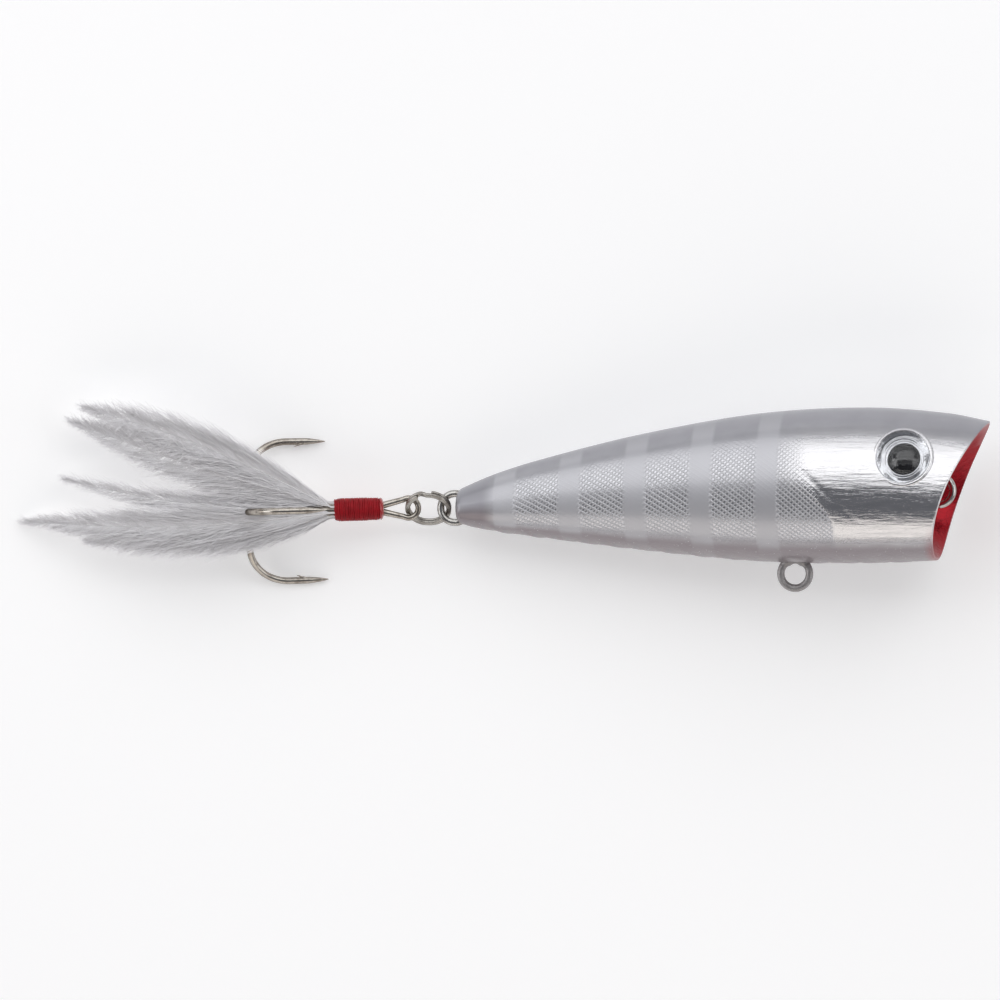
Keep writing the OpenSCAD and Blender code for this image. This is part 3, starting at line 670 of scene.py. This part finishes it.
def foil_finish():
    f = Finish("eye_foil")
    place = f.place()
    f.set(Base_Color=f.tint(f.noise(place, 1.2, 3), (0.6, 0.61, 0.64), (0.8, 0.8, 0.82)), Metallic=1.0,
          Roughness=f.between(f.noise(place, 3, 2), 0.12, 0.3))
    f.bump(f.noise(place, 5, 3), 0.02)
    return f.material


def black_finish():
    f = Finish("eye_black")
    place = f.place()
    f.set(Base_Color=f.tint(f.noise(place, 2, 3), (0.004, 0.004, 0.005), (0.012, 0.012, 0.015)),
          Roughness=f.between(f.noise(place, 4, 2), 0.04, 0.12), Coat_Weight=0.4, Coat_Roughness=0.03)
    f.bump(f.noise(place, 8, 2), 0.004)
    return f.material


def clear_finish():
    f = Finish("eye_clear")
    place = f.place()
    f.set(Base_Color=f.tint(f.noise(place, 2, 3), (0.97, 0.98, 0.99), (1.0, 1.0, 1.0)),
          Roughness=f.between(f.noise(place, 3, 2), 0.01, 0.05), Transmission_Weight=1.0, IOR=1.3)
    f.bump(f.noise(place, 1.5, 2), 0.01)
    return f.material


def cap_profile(radius, height, start, steps=14):
    """Profile of a round cap standing on start, from its edge to its top"""
    ball = (radius ** 2 + height ** 2) / (2 * height)
    reach = math.asin(min(1, radius / ball))
    return [[ball * math.sin(a), start + height - ball + ball * math.cos(a)]
            for a in np.linspace(reach, 0, steps)]


def disc_shape():
    """Foil disc with turned rings"""
    radii = np.linspace(EYE_D / 2 - 0.02, 0.3, 60)
    rings = [[r, DISC_H - 0.05 + 0.045 * math.cos(r * 2 * math.pi / 0.45)] for r in radii]
    return revolve([[0, 0.02], [EYE_D / 2 - 0.02, 0.02]] + rings + [[0, DISC_H]])


def lens_shape():
    """Clear ring round a lower dome, hollow under the dome for the pupil"""
    base = DISC_H + 0.04
    r = EYE_D / 2 - 0.02
    outside = [[r, base], [r, SOCKET_DEPTH - 0.05], [r - 0.08, SOCKET_DEPTH + 0.1],
               [r - 0.3, SOCKET_DEPTH + 0.2], [r - 0.52, SOCKET_DEPTH + 0.14],
               [r - 0.62, SOCKET_DEPTH + 0.02]]
    dome = cap_profile(r - 0.64, DOME_H - SOCKET_DEPTH + 0.38, SOCKET_DEPTH, 20)
    room = cap_profile(PUPIL_D / 2 + 0.3, 0.92, base)[::-1]
    return revolve([[0, room[0][1]]] + room[1:] + outside + dome[:-1] + [[0, dome[-1][1]]])


def make_eye(name, side, prefix):
    """Disc, pupil and lens of one eye, and the raised lip of its socket"""
    lift = np.array([0, 0, -SOCKET_DEPTH])
    flip = (lambda f: f) if side > 0 else (lambda f: [face[::-1] for face in f])
    pupil = revolve([[0, DISC_H + 0.04]] + cap_profile(PUPIL_D / 2, 0.85, DISC_H + 0.04)[:-1]
                    + [[0, DISC_H + 0.89]])
    pupil = (pupil[0] + np.array([PUPIL_SHIFT, 0, 0]), pupil[1])
    parts = (("disc", disc_shape(), eye_foil, "eye_foil"),
             ("pupil", pupil, eye_black, "eye_black"),
             ("lens", lens_shape(), eye_clear, "eye_clear"))
    for part, shape, material, slot in parts:
        points = lying(at_eye(shape[0] + lift, side))
        piece = solid(f"{name}_{part}", (points, flip(shape[1])), "lure_body", material, 50)
        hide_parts(f"{prefix}_{part}")
    points, faces = ring_solid(LIP_PROFILE)
    lip = (lying(at_eye(points, side)), flip(faces))
    piece = solid(f"{name}_lip", lip, "lure_body", paint, 60)
    skin_attributes(piece.data, body_points_of(piece.data))


eye_foil = foil_finish()
eye_black = black_finish()
eye_clear = clear_finish()
make_eye("right_eye", 1, "eye_right")
make_eye("left_eye", -1, "eye_left")

# ------------------------------------------------------------------ wire eyes

FORM_R = 0.475
FORM_MEAN = 1.875
BELLY_EYE_X = 44.4
BELLY_EYE_OUT = 1.45
LINE_TIE_Y = 2.3
LINE_TIE_OUT = 3.7
ANCHOR_STEP = 5.2


def eye_ring(centre, wire=FORM_R, swell=None):
    """A wire eye in the body's frame; swell gives the extra size of the wire at each angle"""
    a = np.arange(120) * 2 * math.pi / 120
    path = centre + FORM_MEAN * np.stack([np.cos(a), np.sin(a), np.zeros_like(a)], -1)
    return sweep(path, circle(wire, 20), None if swell is None else 1 + swell(a), closed=True)


def twisted_neck(start, end):
    """Two wires twisted round each other between two eyes"""
    start, end = np.array(start, float), np.array(end, float)
    t = np.linspace(0, 1, 60)
    way = (end - start) / np.linalg.norm(end - start)
    across = np.cross([0, 0, 1], way)
    strands = []
    for half in (0, math.pi):
        turn = half + t * 2 * math.pi * 1.5
        path = (start + t[:, None] * (end - start)
                + 0.36 * (np.cos(turn)[:, None] * across + np.sin(turn)[:, None] * np.array([0, 0, 1.0])))
        strands.append(sweep(path, circle(0.36, 14), up=(0.3, 0.2, 1)))
    return join(*strands)


def wire_form(name, eye, anchor, material, node, swell=None):
    eye, anchor = np.array([*eye, 0.0]), np.array([*anchor, 0.0])
    way = (anchor - eye) / np.linalg.norm(anchor - eye)
    shape = join(eye_ring(eye, swell=swell), eye_ring(anchor),
                 twisted_neck(eye + way * (FORM_MEAN - 0.1), anchor - way * (FORM_MEAN - 0.1)))
    piece = solid(name, (lying(shape[0]), shape[1]), "lure_body", material, 60)
    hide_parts(node)
    return piece


def painted_wire_finish():
    """Grey paint over wire, thick and lumpy near the body, with glitter"""
    f = Finish("painted_wire")
    place = f.place()
    blotch = f.noise(place, 1.4, 4)
    flakes = f.cells(place, 4.5)
    colour = f.tint(blotch, (0.2, 0.19, 0.19), (0.42, 0.4, 0.4))
    colour = f.tint(f.step(flakes.outputs["Distance"], 0.2, 0.1), colour, (0.75, 0.75, 0.78))
    f.set(Base_Color=colour, Metallic=0.7, Roughness=f.between(blotch, 0.28, 0.5), Coat_Weight=0.5,
          Coat_Roughness=0.1)
    f.bump(f.noise(place, 3, 4), 0.1)
    return f.material


form_metal = metal("form_wire", (0.54, 0.53, 0.51), (0.36, 0.34, 0.32), 0.17)
cup_floor = cup_point(0.0, 0.0)[0]
line_eye = (cup_floor + LINE_TIE_OUT, LINE_TIE_Y)
wire_form("line_tie_wire", line_eye, (cup_floor - WALL - FORM_MEAN - FORM_R, LINE_TIE_Y), form_metal,
          "line_tie")
wire_form("tail_eye_wire", (-TAIL_EYE_OUT, 0), (-TAIL_EYE_OUT + ANCHOR_STEP, 0), form_metal,
          "tail_eyelet")
belly_eye = (BELLY_EYE_X, float(belly_y(BELLY_EYE_X)) - BELLY_EYE_OUT)
wire_form("belly_eye_wire", belly_eye, (BELLY_EYE_X, belly_eye[1] + ANCHOR_STEP), painted_wire_finish(),
          "belly_eyelet",
          swell=lambda a: 0.06 + 0.35 * np.exp(-((np.sin(a) - 0.86) / 0.16) ** 2))

# ------------------------------------------------------------------ split ring

RING_MEAN = 2.69
RING_WIRE = 0.62
TURN_H = 0.405
RING_TOP = 0.2175
RAMP_AT = 100

ring_at = np.array(JOINTS["treble_swing"]["pos_m"]) / MM
ring_axis = np.array(JOINTS["treble_swing"]["axis"])
ring_up = np.cross(ring_axis, [1, 0, 0])


def split_ring_shape():
    """Two turns of flattened wire, with a step from one to the other"""
    a = np.arange(19, 701.5, 2.5)
    t = np.clip((a - 347) / 26, 0, 1)
    height = RING_TOP * np.cos(math.pi * t)
    turn = np.radians(a + RAMP_AT)
    path = (ring_at + RING_MEAN * (np.cos(turn)[:, None] * np.array([1.0, 0, 0])
                                   + np.sin(turn)[:, None] * ring_up) + height[:, None] * ring_axis)
    corner = 0.13
    w, h = RING_WIRE / 2, TURN_H / 2
    section = []
    for sx, sy, first in ((1, 1, 0), (-1, 1, 90), (-1, -1, 180), (1, -1, 270)):
        for k in (0, 45, 90):
            b = math.radians(first + k)
            section.append([sx * (w - corner) + corner * math.cos(b),
                            sy * (h - corner) + corner * math.sin(b)])
    taper = 1 - 0.35 * np.exp(-np.minimum(a - 19, 701 - a) / 1.5)
    return sweep(path, np.array(section), taper, up=ring_axis)


ring_metal = metal("ring_steel", (0.44, 0.42, 0.39), (0.27, 0.25, 0.23), 0.22, (1, 1, 4))
ring_piece = solid("split_ring_coil", split_ring_shape(), "split_ring", ring_metal, 50)
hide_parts("split_ring")

# ------------------------------------------------------------------ treble hook

HOOK_R = 0.45
BUNDLE = 0.537
LIMB_AT = 10.45
BEND_R = (LIMB_AT - BUNDLE) / 2
BEND_X = -21.1 + BEND_R + HOOK_R
POINT_X = BEND_X + 5.2
HOOK_EYE_WIRE = 0.38
HOOK_EYE_MEAN = 1.28
HOOK_EYE_AT = 0.1292  # the round of the eye, from the point where it hangs on the ring
SHANK_START = -3.1
TREBLE_YAW = math.radians(1.5)  # turned a little towards the belly side

EYE_RISE = BUNDLE / 2 + 0.02
treble_at = ring_at + np.array([-RING_MEAN, 0, EYE_RISE])
lowest = LIMB_AT * math.sin(math.radians(30)) + 0.35
TREBLE_PITCH = math.asin((lowest - treble_at[2]) / -POINT_X)


def hooked(points):
    """Points of the treble's own frame, X towards its eye, as it lies"""
    p = np.asarray(points, float)
    c, s = math.cos(TREBLE_PITCH), math.sin(TREBLE_PITCH)
    x, y, z = p[..., 0] * c + p[..., 2] * s, p[..., 1], -p[..., 0] * s + p[..., 2] * c
    c, s = math.cos(TREBLE_YAW), math.sin(TREBLE_YAW)
    return treble_at + np.stack([x * c - y * s, x * s + y * c, z], -1)


def hook_path(direction):
    """One hook from the shank to the point, and its radii"""
    flat = [[SHANK_START, BUNDLE], [-5.5, BUNDLE], [-8, BUNDLE], [-11, BUNDLE], [-13.5, BUNDLE]]
    for a in np.linspace(0, 180, 37):
        flat.append([BEND_X - BEND_R * math.sin(math.radians(a)),
                     BUNDLE + BEND_R * (1 - math.cos(math.radians(a)))])
    straight = np.linspace(0.3, 1, 15)
    flat += [[BEND_X + (POINT_X - BEND_X) * t, LIMB_AT - 0.1 * t * t] for t in straight]
    flat = np.array(flat)
    left = np.maximum(0, POINT_X - flat[:, 0])
    on_limb = np.arange(len(flat)) >= 42
    radii = np.where(on_limb, np.clip(HOOK_R * (left / 2.6) ** 0.62, 0.02, HOOK_R), HOOK_R)
    a = math.radians(direction)
    path = np.stack([flat[:, 0], flat[:, 1] * math.cos(a), flat[:, 1] * math.sin(a)], -1)
    return path, radii


def barb_shape(direction):
    """The barb: a sliver cut up from the limb, towards the shank and the bend"""
    t = np.linspace(0, 1, 9)
    x = POINT_X - 2.3 - 1.9 * t
    away = LIMB_AT - 0.12 - 0.72 * t ** 1.3
    a = math.radians(direction)
    path = np.stack([x, away * math.cos(a), away * math.sin(a)], -1)
    return sweep(path, circle(1, 12), 0.02 + 0.24 * (1 - t) ** 0.8, up=(0.1, 0.3, 1))


def double_shape():
    """One wire from point to point, with the eye in its middle"""
    a, b = hook_path(-30), hook_path(210)
    depth = -BUNDLE / 2
    centre = HOOK_EYE_AT
    turn = np.radians(np.linspace(-120, 120, 41))
    eye = np.stack([centre + HOOK_EYE_MEAN * np.cos(turn), HOOK_EYE_MEAN * np.sin(turn),
                    np.full(len(turn), depth)], -1)
    path = np.concatenate([b[0][::-1], eye, a[0]])
    radii = np.concatenate([b[1][::-1], np.full(len(turn), HOOK_EYE_WIRE), a[1]])
    wire = sweep(path, circle(1, 20), radii, up=(0, 0, 1))
    return join(wire, barb_shape(-30), barb_shape(210))


def single_shape():
    path, radii = hook_path(90)
    return join(sweep(path, circle(1, 20), radii, up=(0, 1, 0)), barb_shape(90))


hook_metal = metal("hook_nickel", (0.5, 0.465, 0.42), (0.3, 0.265, 0.23), 0.19)
for name, shape, node in (("double_hook", double_shape(), "hook_double"),
                          ("single_hook", single_shape(), "hook_single")):
    piece = solid(name, (hooked(shape[0]), shape[1]), "treble", hook_metal, 60)
    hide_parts(node)

# ------------------------------------------------------------------ thread wrap

WRAP_LENGTH = 6.1
WRAP_R = 1.53
WRAP_X = -3.45 - WRAP_LENGTH
THREAD = 0.24


def thread_shape():
    """One thread wound turn by turn over a plain core, from one end of the wrap to the other"""
    turns = WRAP_LENGTH / THREAD
    steps = int(turns * 40)
    t = np.linspace(0, 1, steps)
    a = t * turns * 2 * math.pi
    x = WRAP_X + 0.12 + (WRAP_LENGTH - 0.24) * t
    x += 0.02 * np.sin(a * 0.37)
    bulge = WRAP_R - THREAD / 2 - 0.05 / (1 + np.exp(-(t - 0.72) * 60))
    bulge -= 0.14 * np.exp(-((t - 0.02) / 0.05) ** 2) + 0.1 * np.exp(-((t - 0.99) / 0.03) ** 2)
    path = np.stack([x, bulge * np.cos(a), bulge * np.sin(a)], -1)
    thread = sweep(path, circle(THREAD / 2 * 1.04, 7), up=(1, 0.1, 0))
    core_r = WRAP_R - THREAD * 0.62
    core = revolve([[0, 0], [core_r - 0.2, 0.02], [core_r - 0.05, 0.2], [core_r, WRAP_LENGTH * 0.7],
                    [core_r - 0.05, WRAP_LENGTH - 0.2], [core_r - 0.25, WRAP_LENGTH], [0, WRAP_LENGTH]], 48)
    placed = np.stack([WRAP_X + core[0][:, 2], core[0][:, 0], core[0][:, 1]], -1)
    return join(thread, (placed, core[1]))


def thread_finish():
    """Waxed thread, darker in places, with the gloss of a thin lacquer"""
    f = Finish("red_thread")
    place = f.place()
    fibres = f.noise(f.scaled(place, (3, 1, 1)), 9, 3)
    f.set(Base_Color=f.tint(f.noise(place, 1.1, 3), (0.18, 0.002, 0.005), (0.45, 0.005, 0.014)),
          Roughness=f.between(fibres, 0.35, 0.6), Specular_IOR_Level=0.2, Coat_Weight=0.1,
          Coat_Roughness=0.2)
    f.bump(fibres, 0.03)
    return f.material


points, faces = thread_shape()
thread = solid("thread_turns", (hooked(points), faces), "treble", thread_finish(), 80)
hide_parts("thread_wrap")


def lacquer_finish():
    f = Finish("red_lacquer")
    place = f.place()
    f.set(Base_Color=f.tint(f.noise(place, 1.5, 3), (0.26, 0.002, 0.006), (0.5, 0.006, 0.014)),
          Roughness=f.between(f.noise(place, 3, 2), 0.08, 0.25), Coat_Weight=0.8, Coat_Roughness=0.05)
    f.bump(f.noise(place, 3, 3), 0.05)
    return f.material


def cement_shape():
    """A low cone of lacquer on the end of the wrap that faces the hook's eye"""
    points, faces = revolve([[0, -0.15], [WRAP_R - 0.05, -0.1], [WRAP_R - 0.1, 0.08],
                             [WRAP_R - 0.3, 0.24], [WRAP_R - 0.6, 0.36], [0, 0.4]], 64)
    return np.stack([WRAP_X + WRAP_LENGTH + points[:, 2], points[:, 0], points[:, 1]], -1), faces


points, faces = cement_shape()
cement = solid("lacquer_cone", (hooked(points), faces), "treble", lacquer_finish(), 60)
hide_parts("head_cement")

# ------------------------------------------------------------------ feathers

FEATHER_LENGTH = 40.5
QUILL_AT = 1.137
QUILL_R = 0.12
# quill angle, tip along, tip sideways, bow, width, barbs; sizes are shares of the length
FEATHERS = [
    (70.3, 0.8, 0.343, 0.033, 0.15, 1900),
    (41, 0.84, 0.29, -0.019, 0.17, 2100),
    (20.7, 0.87, 0.1, -0.045, 0.08, 1000),
    (109.7, 1, 0, -0.03, 0.13, 1900),
    (139, 0.8, -0.058, -0.03, 0.13, 1600),
    (159.3, 0.62, -0.044, -0.03, 0.1, 1000),
]
DROOP_X = -22.1  # the feathers start to hang past the bends
DROOP_K = 95  # length in which they hang, squared


def quill_point(feather, t):
    """The quill's centre line: t is 0 where it leaves the wrap and 1 at the tip"""
    angle, reach, sideways, bow = feather[:4]
    x = WRAP_X - 0.4 - FEATHER_LENGTH * reach * t
    y = QUILL_AT * math.cos(math.radians(angle))
    y = y + FEATHER_LENGTH * (sideways * t + bow * np.sin(math.pi * t))
    hang = np.maximum(0, DROOP_X - x)
    z = QUILL_AT * math.sin(math.radians(angle)) - hang ** 2 / DROOP_K
    return np.stack([x, y, z], -1)


def spread(feather, t):
    """Half the width of the feather at t"""
    t = np.clip(t, 0, 1)
    rounded = np.maximum(0, np.sin(math.pi * t ** 1.3)) ** 0.8
    return FEATHER_LENGTH * feather[4] / 2 * rounded * (1 - 0.3 * t) + 0.55 - 0.2 * t


LAID_AT = 0.04  # height of what lies on the surface
LAID_SOFT = 0.3  # height over which the feathers settle


def resting(points):
    """Points of the lying feathers, with those that would pass the surface laid softly on it"""
    laid = np.array(points)
    laid[:, 2] = LAID_AT + LAID_SOFT * np.logaddexp(0, laid[:, 2] / LAID_SOFT)
    return laid


BARB_STEPS = 7


def barbs_shape(feather):
    """Soft barbs that leave the quill on both sides and sweep back, and the tone of each point"""
    count = feather[5]
    start = random.uniform(0.0, 0.98, count) ** 0.9
    clump = np.round(start * 34) / 34
    side = np.where(random.random(count) < 0.5, 1, -1)
    end = start + (0.12 + 0.28 * random.random(count) ** 1.5) * (1.1 - start)
    clump_wave = np.sin(clump * 97 + side * 2.1)
    width = spread(feather, end) * (0.6 + 0.45 * random.random(count) + 0.18 * clump_wave)
    lift = random.normal(0, 0.16, count) + 0.12 * np.cos(clump * 61)
    wave = random.normal(0, 0.4, count)
    phase = random.uniform(0, 2 * math.pi, count)
    points = []
    for s in np.linspace(0, 1, BARB_STEPS):
        along = start + (end - start) * s
        base = quill_point(feather, along)
        off = side * width * s ** 0.72 + wave * s * np.sin(phase + 4 * s)
        p = base + np.stack([np.zeros(count), off, lift * s * (1 + s)], -1)
        points.append(p)
    path = np.stack(points, 1)
    thick = 0.042 * (1 - np.linspace(0, 0.8, BARB_STEPS)) + 0.006
    ahead = np.gradient(path, axis=1)
    ahead /= np.linalg.norm(ahead, axis=2, keepdims=True)
    side_way = np.cross(ahead, [0, 0, 1.0])
    side_way /= np.linalg.norm(side_way, axis=2, keepdims=True)
    rise = np.cross(side_way, ahead)
    section = circle(1, 3)
    rings = path[:, :, None] + thick[None, :, None, None] * (
        section[None, None, :, 0:1] * side_way[:, :, None]
        + section[None, None, :, 1:2] * rise[:, :, None])
    faces = []
    single = grid_faces(BARB_STEPS, 3, wrap=True)
    top = (BARB_STEPS - 1) * 3
    single += [[2, 1, 0], [top, top + 1, top + 2]]
    for k in range(count):
        first = k * BARB_STEPS * 3
        faces += [[first + n for n in face] for face in single]
    # tone by clump: darker and lighter streaks, partly tone that differs at random and partly painted shade
    # between the clumps of barbs
    tone = np.clip(0.62 + 0.22 * clump_wave + random.normal(0, 0.2, count), 0, 1)
    return rings.reshape(-1, 3), faces, np.repeat(tone, BARB_STEPS * 3)


def feather_finish():
    """White hackle: slightly cool, greyer in streaks by clump and along the quill (the clump streaks are
    partly painted shade between the clumps), soft sheen
    """
    f = Finish("feather")
    place = f.place()
    tone = f.attribute("tone")[0]
    # greyer where the tone is low: partly painted shade between the clumps, partly the darker quill
    patchy = f.math("ADD", f.math("MULTIPLY", tone, 0.75), f.math("MULTIPLY", f.noise(place, 0.5, 4), 0.4))
    colour = f.tint(patchy, (0.66, 0.645, 0.65), (0.99, 0.98, 1.0))
    f.set(Base_Color=colour, Roughness=f.between(f.noise(place, 2, 2), 0.5, 0.75), Sheen_Weight=0.3,
          Sheen_Roughness=0.4, Subsurface_Weight=0.3, Subsurface_Radius=(0.3, 0.3, 0.3), Subsurface_Scale=MM)
    f.bump(f.noise(place, 12, 2), 0.01)
    return f.material


white_hackle = feather_finish()
for number, feather in enumerate(FEATHERS, 1):
    along = np.linspace(0, 0.97, 60)
    root = quill_point(feather, np.array([0.0])) + np.array([[WRAP_LENGTH - 0.2, 0, 0]])
    quill = sweep(np.concatenate([root, quill_point(feather, along)]), circle(QUILL_R, 8),
                  np.concatenate([[1], 1 - 0.85 * along]))
    *barbs, barb_tone = barbs_shape(feather)
    points, faces = join(quill, barbs)
    lying_feather = (resting(hooked(points)), faces)
    piece = solid(f"hackle_{number}", lying_feather, "treble", white_hackle, 60)
    tone = np.concatenate([np.full(len(quill[0]), 0.1), barb_tone])
    point_vectors(piece.data, "tone", (tone, tone, tone))
    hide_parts(f"feather_{number}")

# ------------------------------------------------------------------ inner pieces

INNER = (("tail_weight", metal("weight_metal", (0.66, 0.52, 0.28), (0.45, 0.33, 0.16), 0.3)),
         ("rattle_ball_1", metal("ball_steel", (0.7, 0.7, 0.7), (0.55, 0.55, 0.56), 0.12)),
         ("rattle_ball_2", None), ("rattle_ball_3", None),
         ("braze_core", metal("braze", (0.6, 0.48, 0.3), (0.4, 0.3, 0.18), 0.4)))
shared = None
for node, material in INNER:
    shared = material or shared
    data = frame["nodes"][node].data
    data.materials.clear()
    data.materials.append(shared)

# ------------------------------------------------------------------ floor, light and camera

box_low, box_high = (np.array(corner) for corner in cad_box)
centre = (box_low + box_high) / 2


def floor_finish():
    f = Finish("pale_floor")
    place = f.place()
    f.set(Base_Color=f.tint(f.noise(place, 0.004, 2), (0.86, 0.86, 0.865), (0.89, 0.89, 0.895)),
          Roughness=0.7, Specular_IOR_Level=0.1, Emission_Color=(1, 1, 1, 1), Emission_Strength=0.25)
    return f.material


floor_mesh = bpy.data.meshes.new("floor")
FLOOR_REACH = 2.5
FLOOR_DROP = 0.0001  # just clear of what lies on it
corners = [(-1, -1), (1, -1), (1, 1), (-1, 1)]
floor_mesh.from_pydata([(FLOOR_REACH * x, FLOOR_REACH * y, -FLOOR_DROP) for x, y in corners], [],
                       [[0, 1, 2, 3]])
floor_mesh.materials.append(floor_finish())
floor = bpy.data.objects.new("floor", floor_mesh)
bpy.context.scene.collection.objects.link(floor)


def softbox(name, lean, distance, width, length, radiance, colour=(1, 1, 1), turn=0):
    """A soft light: lean is its angle from straight above towards the back, in degrees"""
    light = bpy.data.lights.new(name, "AREA")
    light.shape = "RECTANGLE"
    light.size = length
    light.size_y = width
    light.energy = radiance * math.pi * width * length
    light.color = colour
    lamp = bpy.data.objects.new(name, light)
    away = Vector((math.tan(math.radians(turn)), math.tan(math.radians(lean)), 1))
    lamp.location = Vector(centre) + away.normalized() * distance
    lamp.rotation_euler = away.to_track_quat("Z", "Y").to_euler()
    bpy.context.scene.collection.objects.link(lamp)


softbox("back_softbox", 46, 0.9, 1.0, 1.8, 1.3)
softbox("front_softbox", -62, 0.9, 0.62, 1.8, 0.95, (1, 0.94, 0.88))
softbox("nose_softbox", 0, 1.0, 0.7, 0.7, 1.3, turn=62)
softbox("tail_softbox", 0, 1.0, 0.7, 0.7, 1.8, turn=-62)

world = bpy.data.worlds.new("studio")
world.use_nodes = True
world.node_tree.nodes["Background"].inputs["Color"].default_value = (0.9, 0.92, 1, 1)
world.node_tree.nodes["Background"].inputs["Strength"].default_value = 0.16
bpy.context.scene.world = world
bpy.context.scene.view_settings.view_transform = "Standard"

VIEW_LEAN = math.radians(3.8)  # the camera looks down, a little from the nose's side
VIEW_WIDTH = 129.9 * MM
FRAMING = np.array([-0.38, -0.11, 0]) * MM
camera_data = bpy.data.cameras.new("camera")
camera_data.lens = 1500  # far away, so that near and far parts keep one scale
camera_data.sensor_width = 36
camera = bpy.data.objects.new("camera", camera_data)
away = np.array([math.sin(VIEW_LEAN), 0, math.cos(VIEW_LEAN)])
right = np.array([math.cos(VIEW_LEAN), 0, -math.sin(VIEW_LEAN)])
distance = VIEW_WIDTH * camera_data.lens / camera_data.sensor_width
place = centre + FRAMING + away * distance
turned = Matrix((right, (0, 1, 0), away)).transposed()
camera.matrix_world = Matrix.Translation(Vector(place)) @ turned.to_4x4()
camera_data.clip_end = 10
bpy.context.scene.collection.objects.link(camera)
bpy.context.scene.camera = camera
